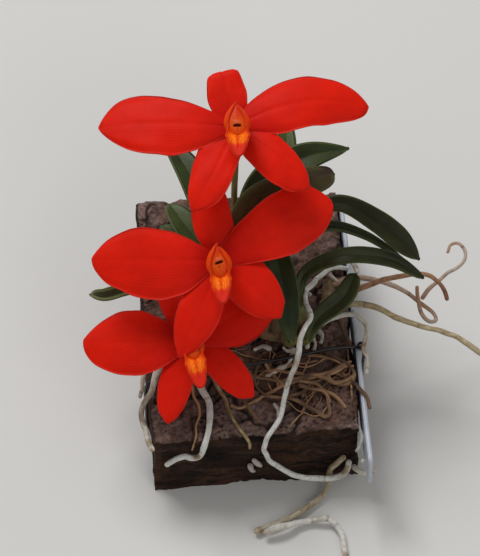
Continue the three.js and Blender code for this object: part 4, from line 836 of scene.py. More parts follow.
def bulb_skin(settings, leaf, seed):
    """A pseudobulb: a spindle turned about the line from the stem to the leaf, with papery ribs.

    Its radius follows a smooth run of heights and is rippled by a cosine of the angle.
    """
    top = np.array(leaf["line"][0], float)
    stem = smooth_path(RHIZOME_LINE)
    foot = stem[np.argmin(np.linalg.norm(stem - top, axis=1))]
    length = np.linalg.norm(top - foot)
    radius = settings.bulb_radius / MM
    stations = np.array([-0.6, 0, length * 0.18, length * 0.35, length * 0.65, length - 0.6, length])
    radii = radius * np.array([0.35, 0.55, 0.85, 1, 0.85, 0.48, 0.34])
    line = [foot + (top - foot) * share for share in (-0.05, 0.25, 0.5, 0.75, 1.0)]

    def radius_at(along, angle):
        wrinkle = 1 + 0.05 * np.cos(7 * angle + seed) + 0.05 * np.cos(12 * angle + along + seed * 2)
        return np.interp(along - 0.05 * length, stations, radii) * wrinkle

    skin = tube_skin(line, radius_at, sides=24, spacing=0.5, seed=seed)
    share = skin.chart[:, 0] / length
    fibres = noise(skin.chart[:, 1] * 9, share * 2 + seed, 6)
    sheath = blend(settings.sheath_colour, np.array(settings.sheath_colour) * 0.45, fibres)
    torn = 0.62 + 0.2 * noise(skin.chart[:, 1] * 2.2, seed, 8)
    skin.paint = blend(sheath, settings.bulb_colour, ease(share, torn, torn + 0.08))
    return skin


def stem_skin(settings):
    """The creeping stem: a tube ringed by the scars of its old scales."""
    radius = settings.rhizome_radius / MM
    skin = tube_skin(RHIZOME_LINE, lambda along, angle: radius * (1 + 0.09 * np.cos(along * 2.6)
                     + 0.05 * np.cos(5 * angle + along)), sides=20, spacing=0.45, bend=0.3)
    scale = noise(skin.chart[:, 0] / 1.3, skin.chart[:, 1] * 1.5, 12)
    skin.paint = blend(settings.sheath_colour, np.array(settings.sheath_colour) * 0.4, scale)
    return skin


def root_skin(settings, root, seed):
    """A root: a tube whose radius runs evenly from its start to its tip, with low swellings."""
    total = lengths_of(smooth_path(root["line"]))[-1]
    start, end = root["radius"]

    def radius_at(along, angle):
        swell = 1 + 0.16 * (noise(along / 3.2, seed, 21) - 0.5)
        flat = 1 + 0.05 * np.cos(2 * angle + along / 6)
        return (start + (end - start) * along / total) * swell * flat

    sides = 10 if start < 0.5 else 14
    skin = tube_skin(root["line"], radius_at, sides, spacing=0.5, bend=0.35, seed=seed)
    along, angle = skin.chart.T
    share = along / total
    base, other = {"white": (settings.white_root_colour, settings.worn_root_colour),
                   "red": (settings.red_root_colour, settings.red_root_dark_colour),
                   "dry": (settings.dry_root_colour, settings.worn_root_colour)}[root["kind"]]
    worn = np.zeros_like(share)
    pale = np.zeros_like(share)
    for middle, spread, strength in root["worn"]:
        worn = np.maximum(worn, bell(share - middle, spread) * max(strength, 0))
        pale = np.maximum(pale, bell(share - middle, spread) * max(-strength, 0))
    worn = worn * ease(noise(along / 1.6, angle + seed, 14), 0.05, 0.55)
    stain = 0.35 * ease(noise(along / 0.9, angle * 1.6 + seed, 17), 0.62, 0.9)
    colour = blend(blend(base, settings.warm_root_colour, root["warm"]), other, np.clip(worn + stain, 0, 1))
    colour = blend(colour, settings.white_root_colour, 0.6 * pale)
    ring = ease(noise(along / 0.35, seed, 19), 0.9, 0.97) * 0.6
    skin.paint = blend(colour, np.array(other) * 0.5, ring)
    return skin


def bark_height(settings, x, y):
    """Height of the bark's face: broad swells less a fissure where a noise crosses its middle value."""
    swells = noise(x / 9 + 20, y / 13 + 20, 3) - 0.5
    crossing = noise(x / 11 + 5, y / 17 + 5, 8)
    fissure = np.maximum(0, 1 - np.abs(crossing - 0.5) / 0.05)
    return settings.block_height / MM + 1.1 * swells - 1.3 * fissure


def bark_relief(x, y):
    """Plates of bark: scattered cells with a height each, sunk where two meet, pitted and roughened.

    Returns the height to add, how deep in a gap each point is, and its plate's own value.
    """
    bent_x = x + 5.5 * rough(x / 8, y / 8, 31)
    bent_y = y + 5.5 * rough(x / 8 + 9, y / 8, 35)
    _, to_border, value = cells(bent_x / 10.5 + 4, bent_y / 8.5 + 7, 41)
    gap = 1 - ease(to_border, 0.02, 0.1 + 0.16 * noise(x / 5, y / 5, 44))
    gap = gap * (0.2 + 0.8 * ease(noise(x / 7 + 2, y / 7, 49), 0.32, 0.6))
    flakes_x = bent_x / 3.1 + rough(x / 2, y / 2, 51)
    _, flake_border, flake = cells(flakes_x, bent_y / 2.3, 53)
    chip = (1 - ease(flake_border, 0.0, 0.12)) * ease(noise(x / 7, y / 7, 57), 0.45, 0.7)
    near_pit, _, _ = cells(x / 1.9, y / 1.9, 61)
    pit = (1 - ease(near_pit, 0.1, 0.24)) * ease(noise(x / 6 + 3, y / 6, 63), 0.5, 0.68)
    height = (0.9 * (value - 0.5) - 1.1 * gap + 0.3 * (flake - 0.5) * (1 - gap) - 0.35 * chip
              - 0.7 * pit + 0.7 * rough(x / 1.9, y / 1.9, 47))
    return height, np.clip(gap + 0.6 * chip + pit, 0, 1), value


def bark_skin(settings):
    """The bark block: the outside of a box of points, pushed by noise, with a flat back.

    Each wall's points move out by layers of noise that run along it, less and less with distance from
    that wall, so the corners stay closed. The face takes the plates, and falls to a worn rim.
    """
    width = settings.block_width / MM
    length = settings.block_length / MM
    height = settings.block_height / MM
    wall_depth = 3.5
    xs = np.linspace(-width / 2, width / 2, 157)
    ys = np.linspace(-length / 2, length / 2, 217)
    zs = np.linspace(0, height, 55)
    sheets = []
    walls = ((xs, ys, zs[-1:]), (xs[:1], ys, zs), (xs[-1:], ys, zs), (xs, ys[:1], zs), (xs, ys[-1:], zs))
    for x, y, z in walls:
        places = np.stack(np.meshgrid(x, y, z, indexing="ij"), axis=-1)
        sheets.append(places.reshape([n for n in places.shape[:3] if n > 1] + [3]))
    counts = np.cumsum([0] + [sheet.shape[0] * sheet.shape[1] for sheet in sheets])
    raw = np.vstack([sheet.reshape(-1, 3) for sheet in sheets])
    raw_faces = [grid_faces(start + np.arange(sheet.shape[0] * sheet.shape[1]).reshape(sheet.shape[:2]))
                 for start, sheet in zip(counts, sheets)]
    turned = [raw_faces[0], raw_faces[1][:, ::-1], raw_faces[2], raw_faces[3], raw_faces[4][:, ::-1]]
    merged, renumber = np.unique(np.round(raw, 4), axis=0, return_inverse=True)
    faces = renumber.reshape(-1)[np.vstack(turned)]
    x, y, z = merged.T
    share = z / height
    side_x = np.sign(x)
    side_y = np.sign(y)
    near_x = 1 - ease(width / 2 - np.abs(x), 0, wall_depth)
    near_y = 1 - ease(length / 2 - np.abs(y), 0, wall_depth)

    def layers(run, seed):
        broad = (noise(run / 14 + 40, share * 4 + 10, seed) - 0.5) * 1.5
        strata = rough(run / 9, z / 1.3 + rough(run / 6, z / 5, seed + 2) * 3, seed + 5, 3) * 0.9
        return broad + strata - 0.4 - 0.4 * ease(share, 0.92, 1)

    push_x = near_x * layers(y, 5) * side_x
    push_y = near_y * layers(x, 6) * side_y
    rim = np.minimum(width / 2 - np.abs(x), length / 2 - np.abs(y))
    relief, gap, value = bark_relief(x, y)
    ragged = 1.3 + 1.6 * noise(x / 4, y / 4, 71)
    worn = ease(rim, 0, ragged)
    face = bark_height(settings, x, y) + relief * (0.35 + 0.65 * worn) - 0.5 * (1 - worn)
    points = np.stack([x + push_x, y + push_y, share * face], axis=1)
    on_face = (share > 0.999) * 1.0
    tone = np.clip(0.5 + 0.9 * (value - 0.5) + 0.9 * rough(x / 5, y / 5, 73), 0, 1)
    top = blend(settings.bark_colour, settings.bark_brown_colour, tone)
    top = top * (0.75 + 0.5 * noise(x / 0.9, y / 0.9, 75))[:, None]
    # Gaps, chips and pits darken by how deep they lie: painted shade in the bark's hollows
    top = blend(top, settings.bark_hollow_shade_colour, np.clip(0.85 * gap, 0, 1))
    run = np.where(near_x > near_y, y, x)
    band = np.clip(0.5 + 1.3 * rough(run / 10, z / 1.1 + rough(run / 5, z / 4, 81) * 2.5, 83), 0, 1)
    # The walls' dark brown is darker than the bark's own: partly painted shade on the sides and back
    sides = blend(settings.bark_side_shade_colour, settings.bark_streak_colour, band ** 2)
    left_strip = ease(-x, width / 2 - 3.2, width / 2 - 1.2) * ease(-y, -6, 10)
    sides = blend(sides, settings.bark_streak_colour, 0.8 * left_strip)
    # Dark patches on the walls: painted shade standing for hollows
    hollow_shade = ease(noise(run / 6 + 3, z / 2.4, 87), 0.7, 0.85)
    sides = blend(sides, settings.bark_hollow_shade_colour, 0.8 * hollow_shade)
    paint = blend(sides, top, on_face)
    border = np.nonzero(share < 1e-6)[0]
    order = np.argsort(np.arctan2(points[border, 1] / length, points[border, 0] / width))
    border = border[order]
    inner = points[border] * np.array([0.93, 0.95, 0])
    ring = len(points) + np.arange(len(border))
    every = np.vstack([points, inner, [[0, 0, 0]]])
    rings = np.vstack([border, ring])
    back = grid_faces(np.hstack([rings, rings[:, :1]]))[:, ::-1]
    all_faces = [tuple(f) for f in np.vstack([faces, back]).tolist()] + fan(len(every) - 1, ring[::-1])
    back_paint = np.tile(np.array(settings.bark_side_shade_colour), (len(inner) + 1, 1))
    return Skin(every, all_faces, every[:, :2] / 10, np.vstack([paint, back_paint]))


def fibre_lines(settings, count, seed):
    """Loose fibres on the bark: seeded starts and headings that wander by a running sum of turns."""
    chance = np.random.default_rng(seed)
    steps = 15
    start_width, start_length = (3, 29), (-30, -11)
    reach_width, reach_length = (-26, 26.5), (-37.5, -9)
    heading = chance.uniform(0, 2 * math.pi, (count, 1))
    turns = np.cumsum(chance.normal(0, 0.27, (count, steps)), axis=1)
    stride = chance.uniform(0.7, 1.5, (count, 1))
    start_x = chance.uniform(*start_width, (count, 1))
    start_y = chance.uniform(*start_length, (count, 1))
    x = np.clip(start_x + np.cumsum(np.cos(heading + turns) * stride, axis=1), *reach_width)
    y = np.clip(start_y + np.cumsum(np.sin(heading + turns) * stride, axis=1), *reach_length)
    lift = 0.35 + 0.9 * np.abs(np.sin(np.linspace(0, 3, steps) + chance.uniform(0, 3, (count, 1))))
    z = bark_height(settings, x, y) + lift * chance.uniform(0.3, 1.1, (count, 1))
    return np.stack([x, y, z], axis=-1)


# Materials

class Board:
    """A material and its nodes, with short calls that add a node and link it."""

    def __init__(self, name, **sockets):
        """Starts a material whose shader has the given values on its own sockets."""
        self.material = bpy.data.materials.new(name)
        self.material.use_nodes = True
        self.tree = self.material.node_tree
        self.tree.nodes.clear()
        self.shader = self.add("ShaderNodeBsdfPrincipled", sockets)
        self.add("ShaderNodeOutputMaterial", {"Surface": self.shader.outputs["BSDF"]})
        self.place = self.add("ShaderNodeTexCoord").outputs["Object"]
        self.chart = self.add("ShaderNodeUVMap", uv_map="UVMap").outputs["UV"]
        self.paint = self.add("ShaderNodeAttribute", attribute_name="paint").outputs["Color"]

    def add(self, kind, inputs=(), **settings):
        """A new node with these settings and inputs."""
        node = self.tree.nodes.new(kind)
        for name, value in settings.items():
            setattr(node, name, value)
        self.feed(node, dict(inputs))
        return node

    def feed(self, node, inputs):
        """Links each input to another node's output, or gives it a plain value."""
        for socket, value in inputs.items():
            if isinstance(value, bpy.types.NodeSocket):
                self.tree.links.new(value, node.inputs[socket])
            else:
                node.inputs[socket].default_value = value

    def noise(self, scale, detail=3.0, vector=None):
        """Noise over the object's own coordinates, or over another vector."""
        inputs = {"Scale": scale, "Detail": detail, "Vector": vector or self.place}
        return self.add("ShaderNodeTexNoise", inputs).outputs["Fac"]

    def stretched(self, vector, scale):
        """The vector times a scale for each axis."""
        return self.add("ShaderNodeMapping", {"Vector": vector, "Scale": scale}).outputs["Vector"]

    def maths(self, operation, first, second=0.0):
        """One sum of two values."""
        return self.add("ShaderNodeMath", {0: first, 1: second}, operation=operation).outputs[0]

    def weighed(self, *parts):
        """The sum of some values, each times its weight."""
        total = 0.0
        for value, weight in parts:
            total = self.maths("ADD", total, self.maths("MULTIPLY", value, weight))
        return total

    def spread(self, value, low, high, to_low=0.0, to_high=1.0):
        """The value's range from low to high, stretched to another range and held to it."""
        inputs = {"Value": value, "From Min": low, "From Max": high, "To Min": to_low, "To Max": to_high}
        return self.add("ShaderNodeMapRange", inputs).outputs["Result"]

    def shaded(self, colour, *bands):
        """The colour times a grey for each band, which is a value with its range and the greys there."""
        grey = self.spread(*bands[0])
        for band in bands[1:]:
            grey = self.maths("MULTIPLY", grey, self.spread(*band))
        grey = self.add("ShaderNodeCombineColor", {"Red": grey, "Green": grey, "Blue": grey})
        inputs = {"Factor": 1.0, "A": colour, "B": grey.outputs["Color"]}
        return self.add("ShaderNodeMix", inputs, data_type="RGBA", blend_type="MULTIPLY").outputs["Result"]

    def finish(self, colour, roughness, relief, depth, strength=1.0):
        """Links colour and roughness, and the relief as a bump of that depth in metres."""
        bump = self.add("ShaderNodeBump", {"Strength": strength, "Distance": depth, "Height": relief})
        looks = {"Base Color": colour, "Roughness": roughness, "Normal": bump.outputs["Normal"]}
        self.feed(self.shader, looks)
        return self.material


def petal_finish(name, veins, settings):
    """Satin petals: fine veins along the chart, glistening cells and a little light let through."""
    board = Board(name, **{"Subsurface Weight": settings.petal_glow, "Subsurface Scale": 0.0016,
                           "Subsurface Radius": (1.0, 0.16, 0.08), "Specular IOR Level": 0.13,
                           "Specular Tint": (1.0, 0.55, 0.5, 1.0)})
    split = board.add("ShaderNodeSeparateXYZ", {"Vector": board.chart})
    wander = board.noise(2.0, 1.0, board.stretched(board.chart, (1.2, 2, 1)))
    across = board.weighed((split.outputs["X"], 1.0), (wander, 0.03))
    wave = board.maths("SINE", board.maths("MULTIPLY", across, veins * 2 * math.pi))
    line = board.spread(wave, 0.3, 1.0)
    cell = board.noise(5200.0, 2.0)
    cloud = board.noise(240.0, 3.0)
    colour = board.shaded(board.paint, (line, 0, 1, 1.0, 0.93), (cloud, 0.3, 0.7, 0.93, 1.05),
                          (cell, 0.3, 0.75, 0.95, 1.06))
    relief = board.weighed((line, -0.25), (cell, 0.35), (cloud, 1.6))
    return board.finish(colour, board.spread(cell, 0.3, 0.7, 0.42, 0.56), relief, 0.00012, 0.5)


def plain_finish(name, clouds, grains, depth, roughness, **sockets):
    """Paint made uneven by broad clouds and by a fine grain that is also its relief.

    clouds and grains are each a scale and how far they lighten or darken the paint.
    """
    board = Board(name, **sockets)
    cloud = board.noise(clouds[0], 4.0)
    grain = board.noise(grains[0], 5.0)
    colour = board.shaded(board.paint, (cloud, 0.3, 0.7, 1 - clouds[1], 1 + clouds[1]),
                          (grain, 0.3, 0.7, 1 - grains[1], 1 + grains[1]))
    relief = board.weighed((grain, 1.0), (cloud, 0.8))
    return board.finish(colour, board.spread(cloud, 0.3, 0.7, *roughness), relief, depth)


def root_finish(name):
    """Chalky velamen: pale flecks, fine cross wrinkles along the chart and a soft grain."""
    board = Board(name, **{"Specular IOR Level": 0.25, "Subsurface Weight": 0.08,
                           "Subsurface Radius": (1.0, 0.8, 0.5), "Subsurface Scale": 0.0006})
    fleck = board.noise(1900.0, 4.0)
    cloud = board.noise(420.0, 3.0)
    wrinkle = board.noise(1.0, 3.0, board.stretched(board.chart, (2.6, 0.8, 1)))
    colour = board.shaded(board.paint, (fleck, 0.3, 0.7, 0.86, 1.12), (cloud, 0.3, 0.7, 0.88, 1.08),
                          (wrinkle, 0.35, 0.65, 0.9, 1.05))
    relief = board.weighed((wrinkle, 1.2), (fleck, 1.0))
    return board.finish(colour, board.spread(fleck, 0.3, 0.7, 0.62, 0.86), relief, 0.00018, 0.8)


def bark_finish():
    """Bark: flecked plates with a crumbling grain."""
    board = Board("bark_plates", **{"Specular IOR Level": 0.2})
    crumb = board.noise(900.0, 6.0)
    fleck = board.noise(2600.0, 3.0)
    cloud = board.noise(150.0, 4.0)
    fibre = board.noise(1.0, 5.0, board.stretched(board.place, (260, 260, 1500)))
    colour = board.shaded(board.paint, (crumb, 0.35, 0.65, 0.62, 1.3), (cloud, 0.3, 0.7, 0.8, 1.2),
                          (fleck, 0.3, 0.7, 0.85, 1.15))
    relief = board.weighed((crumb, 1.5), (fibre, 0.8), (fleck, 0.4))
    return board.finish(colour, board.spread(crumb, 0.3, 0.7, 0.78, 0.97), relief, 0.0005, 0.9)


# Settings

def amount(label, about, value, **limits):
    """A number property."""
    return bpy.props.FloatProperty(name=label, description=about, default=value, **limits)


def size(label, about, millimetres):
    """A length property."""
    return amount(label, about, millimetres * MM, min=0.0, subtype="DISTANCE", unit="LENGTH", precision=5)


def paint_colour(label, about, value):
    """A colour property."""
    return bpy.props.FloatVectorProperty(name=label, description=about, default=value, size=3, min=0.0,
                                         max=1.0, subtype="COLOR")


class BarkSettings(bpy.types.PropertyGroup):
    """Size and colours of the bark block."""
    block_width: size("Width", "Width of the bark block", 56.6)
    block_length: size("Length", "Length of the bark block", 78.6)
    block_height: size("Height", "Thickness of the bark block", 25)
    bark_colour: paint_colour("Plates", "Mauve-grey of the weathered plates", (0.2, 0.132, 0.115))
    bark_brown_colour: paint_colour("Brown", "Brown of the fresher plates", (0.105, 0.053, 0.036))
    # Painted shade: the near black of the face's gaps and pits and the walls' dark patches
    bark_hollow_shade_colour: paint_colour("Gaps", "Dark of the gaps and pits", (0.008, 0.005, 0.004))
    # Partly painted shade: the walls' brown is darker than the bark's own colour
    bark_side_shade_colour: paint_colour("Sides", "Dark brown of the layered sides", (0.016, 0.0075, 0.0045))
    bark_streak_colour: paint_colour("Streaks", "Reddish brown streaks", (0.06, 0.026, 0.014))


class FittingSettings(bpy.types.PropertyGroup):
    """Size and colours of the tie wire and the plant label."""
    wire_radius: size("Wire radius", "Half the thickness of the tie wire", 0.45)
    wire_colour: paint_colour("Wire", "Black of the tie wire", (0.008, 0.008, 0.009))
    label_length: size("Label length", "Length of the plant label", 84)
    label_height: size("Label height", "Width of the plant label's strip", 12.5)
    label_thickness: size("Label thickness", "Thickness of the plant label", 1.2)
    label_colour: paint_colour("Label", "Cool white of the plant label", (0.47, 0.51, 0.58))


class FlowerSettings(bpy.types.PropertyGroup):
    """Sizes and colours of the flowers."""
    petal_thickness: size("Petal thickness", "Thickness of the petals and sepals", 0.7)
    lip_thickness: size("Lip thickness", "Thickness of the lips", 0.6)
    stalk_radius: size("Stalk radius", "Half the thickness of a flower stalk", 0.85)
    ovary_radius: size("Ovary radius", "Half the thickness of the ovary behind a flower", 1.5)
    petal_glow: amount("Glow", "Share of light scattered in the petals", 0.15, min=0.0, max=1.0,
                       subtype="FACTOR")
    petal_colour: paint_colour("Petals", "Scarlet of the petals", (0.72, 0.012, 0.003))
    # Painted shade: the darker red standing for shade at the throat, also used for uneven patches
    petal_shade_colour: paint_colour("Throat", "Deeper red near the throat", (0.5, 0.006, 0.004))
    petal_rim_colour: paint_colour("Rim", "Pinker red of the rims and backs", (0.72, 0.045, 0.03))
    lip_orange: paint_colour("Lip", "Orange of the lip's hood", (0.81, 0.066, 0.002))
    lip_yellow: paint_colour("Patches", "Yellow of the patches on the lip", (0.93, 0.19, 0.006))
    lip_red: paint_colour("Lip tip", "Red of the lip's tip and veins", (0.66, 0.02, 0.01))
    cap_colour: paint_colour("Anther cap", "Pale pink of the anther cap", (0.64, 0.14, 0.065))
    # Painted shadow: the near black of the cavity under the anther cap
    slit_shadow_colour: paint_colour("Slit", "Maroon of the slit under the anther cap", (0.07, 0.003, 0.003))
    stalk_colour: paint_colour("Stalk", "Yellow-green of the stalks", (0.12, 0.12, 0.02))
    ovary_colour: paint_colour("Ovary", "Orange flush of the ovaries", (0.4, 0.07, 0.012))


class LeafSettings(bpy.types.PropertyGroup):
    """Sizes and colours of the leaves, the pseudobulbs and the creeping stem."""
    leaf_thickness: size("Leaf thickness", "Thickness of a leaf at its fold", 1.3)
    leaf_rim_thickness: size("Rim thickness", "Thickness of a leaf at its rim", 0.8)
    rhizome_radius: size("Stem radius", "Half the thickness of the creeping stem", 1.7)
    bulb_radius: size("Bulb radius", "Half the thickness of a pseudobulb", 2.5)
    leaf_colour: paint_colour("Leaf", "Green of the leaves", (0.021, 0.034, 0.0075))
    leaf_olive_colour: paint_colour("Olive", "Olive of the older leaves", (0.034, 0.028, 0.009))
    leaf_cool_colour: paint_colour("Cool", "Blue-green of the shaded leaves", (0.013, 0.028, 0.012))
    leaf_pale_colour: paint_colour("Pale", "Pale green of the rims and leaf feet", (0.11, 0.13, 0.04))
    leaf_scar_colour: paint_colour("Scar", "Brown of the dried tips", (0.05, 0.016, 0.01))
    bulb_colour: paint_colour("Bulb", "Green of the pseudobulbs", (0.14, 0.15, 0.035))
    sheath_colour: paint_colour("Sheath", "Papery brown of the dry sheaths", (0.3, 0.2, 0.1))


class RootSettings(bpy.types.PropertyGroup):
    """Sizes, numbers and colours of the roots."""
    dry_radius: size("Dry root radius", "Half the thickness of a dry root", 0.48)
    fibre_count: bpy.props.IntProperty(name="Fibres", description="Loose fine fibres on the bark",
                                       default=26, min=0)
    fibre_seed: bpy.props.IntProperty(name="Seed", description="Seed of the loose fibres", default=11)
    white_root_colour: paint_colour("White", "Chalky white of the living roots", (0.72, 0.72, 0.68))
    warm_root_colour: paint_colour("Cream", "Cream of the older roots", (0.5, 0.4, 0.2))
    worn_root_colour: paint_colour("Worn", "Tan where the roots are worn", (0.24, 0.14, 0.055))
    red_root_colour: paint_colour("Reddish", "Reddish brown of the free roots", (0.4, 0.215, 0.12))
    red_root_dark_colour: paint_colour("Dark red", "Darker red-brown of them", (0.2, 0.07, 0.04))
    dry_root_colour: paint_colour("Dry", "Tan-brown of the dry roots", (0.42, 0.235, 0.12))
    # Partly painted shade: the dark brown of shaded dry roots, mixed at random with the tan
    dry_shade_colour: paint_colour("Dry dark", "Dark brown of the dry roots", (0.075, 0.038, 0.02))


class StageSettings(bpy.types.PropertyGroup):
    """Floor, lights and camera."""
    floor_size: size("Floor", "Side of the floor", 6000)
    floor_colour: paint_colour("Floor", "Pale floor", (0.66, 0.655, 0.64))
    key_power: amount("Key light", "Power of the main light", 11.0, min=0.0, unit="POWER")
    fill_power: amount("Fill light", "Power of the fill light", 3.0, min=0.0, unit="POWER")
    sky: amount("Sky", "Strength of the even light from all round", 0.32, min=0.0)
    camera_elevation: amount("Elevation", "Angle of the view above the floor", math.radians(57),
                             subtype="ANGLE", unit="ROTATION")
    camera_azimuth: amount("Azimuth", "Turn of the view about the upright axis", math.radians(-4),
                           subtype="ANGLE", unit="ROTATION")
    camera_distance: size("Distance", "From the camera to the point that it looks at", 1000)
    camera_lens: amount("Lens", "Focal length of the camera", 236.3, min=1.0, unit="CAMERA")


SETTINGS = {"orchid_bark": BarkSettings, "orchid_fittings": FittingSettings,
            "orchid_flowers": FlowerSettings, "orchid_leaves": LeafSettings,
            "orchid_roots": RootSettings, "orchid_stage": StageSettings}


# Operators

class ORCHID_OT_bark_block(bpy.types.Operator):
    """Builds the bark block with its plates and layered sides"""
    bl_idname = "orchid.bark_block"
    bl_label = "Bark Block"

    def execute(self, context):
        skin = bark_skin(context.scene.orchid_bark)
        make_piece("bark_slab", skin, bark_finish(), "bark", "bark_block")
        return {"FINISHED"}


class ORCHID_OT_tie_wire(bpy.types.Operator):
    """Builds the black wire that ties the roots and the label to the bark"""
    bl_idname = "orchid.tie_wire"
    bl_label = "Tie Wire"

    def execute(self, context):
        settings = context.scene.orchid_fittings
        half = context.scene.orchid_bark.block_width / MM / 2
        left, right, back = -half - 0.6, half + 2.5, WIRE_BACK_HEIGHT
        line = [(left + 1.2, -20.6, back), (-14, -19.4, back), (0, -18, back), (14, -16.6, back),
                (right - 2.6, -15, back), (right - 0.8, -14.8, 2.2), (right - 0.2, -14.6, 8),
                (right, -14.6, 18), (right - 0.1, -14.6, 25.6), (right - 1.8, -14.8, 27.6),
                (22, -15.2, 28.4), (14, -16.2, 27.8), (6, -17, 27), (-4, -18, 26.2), (-14, -19.2, 26.2),
                (-24, -20.2, 26), (left + 0.9, -20.7, 25), (left, -20.8, 22), (left, -20.8, 12),
                (left + 0.2, -20.8, 3)]
        radius = settings.wire_radius / MM
        loop = tube_skin(line, lambda along, angle: radius, sides=12, spacing=0.7, closed=True)
        twist = [(29.2, -14.9, 27.9), (30, -15.4, 28.6), (30.5, -14.7, 29.1), (29.9, -14.1, 28.7),
                 (29.3, -14.8, 28.5), (29.9, -15.7, 28.9), (30.8, -16.2, 28.6)]
        knot = tube_skin(twist, lambda along, angle: radius * 0.9, sides=12, spacing=0.3)
        skin = joined([plain_paint(part, settings.wire_colour) for part in (loop, knot)])
        finish = plain_finish("black_wire", (300.0, 0.15), (2200.0, 0.2), 0.00003, (0.3, 0.42))
        make_piece("black_tie_wire", skin, finish, "wire", "tie_wire")
        return {"FINISHED"}


class ORCHID_OT_plant_label(bpy.types.Operator):
    """Builds the bare plant label: a thin strip with rounded corners"""
    bl_idname = "orchid.plant_label"
    bl_label = "Plant Label"

    def execute(self, context):
        settings = context.scene.orchid_fittings
        half = context.scene.orchid_bark.block_width / MM / 2
        length = settings.label_length / MM
        height = settings.label_height / MM
        thick = settings.label_thickness / MM
        gap, corner, turn = 0.95, 1.4, math.radians(0.9)
        middle_y, top = -9, 27
        u, v = grid(*LABEL_GRID)
        from_end = np.minimum(u, 1 - u) * length
        inset = corner - np.sqrt(np.maximum(corner ** 2 - np.maximum(corner - from_end, 0) ** 2, 0.02))
        along = (u - 0.5) * (length - thick)
        up = v * (height / 2 - thick / 2 - inset)
        bow = 0.25 * np.sin(along / 20) + 0.12 * (up / height) ** 2
        x = half + gap + bow * math.cos(turn) - along * math.sin(turn)
        y = middle_y + along * math.cos(turn)
        z = top - height / 2 + up
        soil = 0.1 * ease(rough(u * 30, v * 3, 3), 0.1, 0.5)
        colour = np.array(settings.label_colour) * (1 - soil)[..., None]
        skin = sheet_skin(np.stack([x, y, z], axis=-1), thick, colour, colour * 0.97)
        finish = plain_finish("label_plastic", (200.0, 0.05), (3000.0, 0.04), 0.00002, (0.3, 0.45),
                              **{"Subsurface Weight": 0.1, "Subsurface Scale": 0.001})
        make_piece("bare_label_strip", skin, finish, "label", "plant_label")
        return {"FINISHED"}


class ORCHID_OT_creeping_stem(bpy.types.Operator):
    """Builds the creeping stem and the pseudobulb under each leaf"""
    bl_idname = "orchid.creeping_stem"
    bl_label = "Stem and Bulbs"

    def execute(self, context):
        settings = context.scene.orchid_leaves
        skins = [stem_skin(settings)]
        skins += [bulb_skin(settings, leaf, k) for k, leaf in enumerate(LEAVES.values())]
        finish = plain_finish("papery_stem", (350.0, 0.25), (1500.0, 0.25), 0.00025, (0.5, 0.75))
        make_piece("stem_and_bulbs", joined(skins), finish, "stem", "rhizome_with_pseudobulbs")
        return {"FINISHED"}


class ORCHID_OT_flower_stalks(bpy.types.Operator):
    """Builds the three flower stalks with their ovaries"""
    bl_idname = "orchid.flower_stalks"
    bl_label = "Flower Stalks"

    def execute(self, context):
        settings = context.scene.orchid_flowers
        finish = plain_finish("waxy_stalk", (400.0, 0.12), (2500.0, 0.1), 0.00005, (0.4, 0.52))
        for name, flower in FLOWERS.items():
            node = f"{name}_flower_stalk_and_ovary"
            make_piece(f"{name}_stalk", stalk_skin(settings, flower), finish, "stem", node)
        return {"FINISHED"}


class ORCHID_OT_flower_columns(bpy.types.Operator):
    """Builds the column with its anther cap in each flower"""
    bl_idname = "orchid.flower_columns"
    bl_label = "Columns"

    def execute(self, context):
        settings = context.scene.orchid_flowers
        finish = plain_finish("column_flesh", (900.0, 0.08), (4000.0, 0.06), 0.00004, (0.35, 0.5),
                              **{"Specular IOR Level": 0.12})
        for name, flower in FLOWERS.items():
            skin = column_skin(settings, LIPS[name])
            skin.points = placed(flower, skin.points)
            make_piece(f"{name}_column", skin, finish, "column", f"{name}_flower_column")
        return {"FINISHED"}


class ORCHID_OT_flower_lips(bpy.types.Operator):
    """Builds the lip rolled round each column"""
    bl_idname = "orchid.flower_lips"
    bl_label = "Lips"

    def execute(self, context):
        settings = context.scene.orchid_flowers
        finish = petal_finish("lip_flesh", 17, settings)
        u, v = grid(*LIP_GRID)
        paints = lip_paint(settings, u, v)
        for name, flower in FLOWERS.items():
            middle = placed(flower, lip_middle(LIPS[name], u, v))
            skin = sheet_skin(middle, settings.lip_thickness / MM, *paints)
            make_piece(f"{name}_lip", skin, finish, "lip", f"{name}_flower_lip")
        return {"FINISHED"}


class ORCHID_OT_petals_and_sepals(bpy.types.Operator):
    """Builds the petals and sepals of each flower"""
    bl_idname = "orchid.petals_and_sepals"
    bl_label = "Petals and Sepals"

    def execute(self, context):
        settings = context.scene.orchid_flowers
        finish = petal_finish("petal_flesh", 24, settings)
        u, v = grid(*TEPAL_GRID)
        thin = 1 - 0.65 * np.maximum(ease(np.abs(v), 0.7, 1), ease(u, 0.9, 1))
        thickness = settings.petal_thickness / MM * thin
        for name, flower in FLOWERS.items():
            for number, (part, tepal) in enumerate(BLADES[name].items()):
                level = PETAL_LEVEL if part.startswith("petal") else SEPAL_LEVEL
                middle = placed(flower, tepal_middle(tepal, level, u, v))
                paints = tepal_paint(settings, u, v, 3 * number + len(name))
                skin = sheet_skin(middle, thickness, *paints)
                make_piece(f"{name}_{part}", skin, finish, "petal", f"{name}_flower_{part}")
        return {"FINISHED"}


class ORCHID_OT_leaves(bpy.types.Operator):
    """Builds the folded leaves"""
    bl_idname = "orchid.leaves"
    bl_label = "Leaves"

    def execute(self, context):
        settings = context.scene.orchid_leaves
        finish = plain_finish("leathery_leaf", (260.0, 0.16), (2600.0, 0.08), 0.00006, (0.36, 0.5),
                              **{"Specular IOR Level": 0.24})
        for number, (name, leaf) in enumerate(LEAVES.items()):
            make_piece(f"{name}_blade", leaf_skin(settings, leaf, 5 * number), finish, "leaf", name)
        return {"FINISHED"}


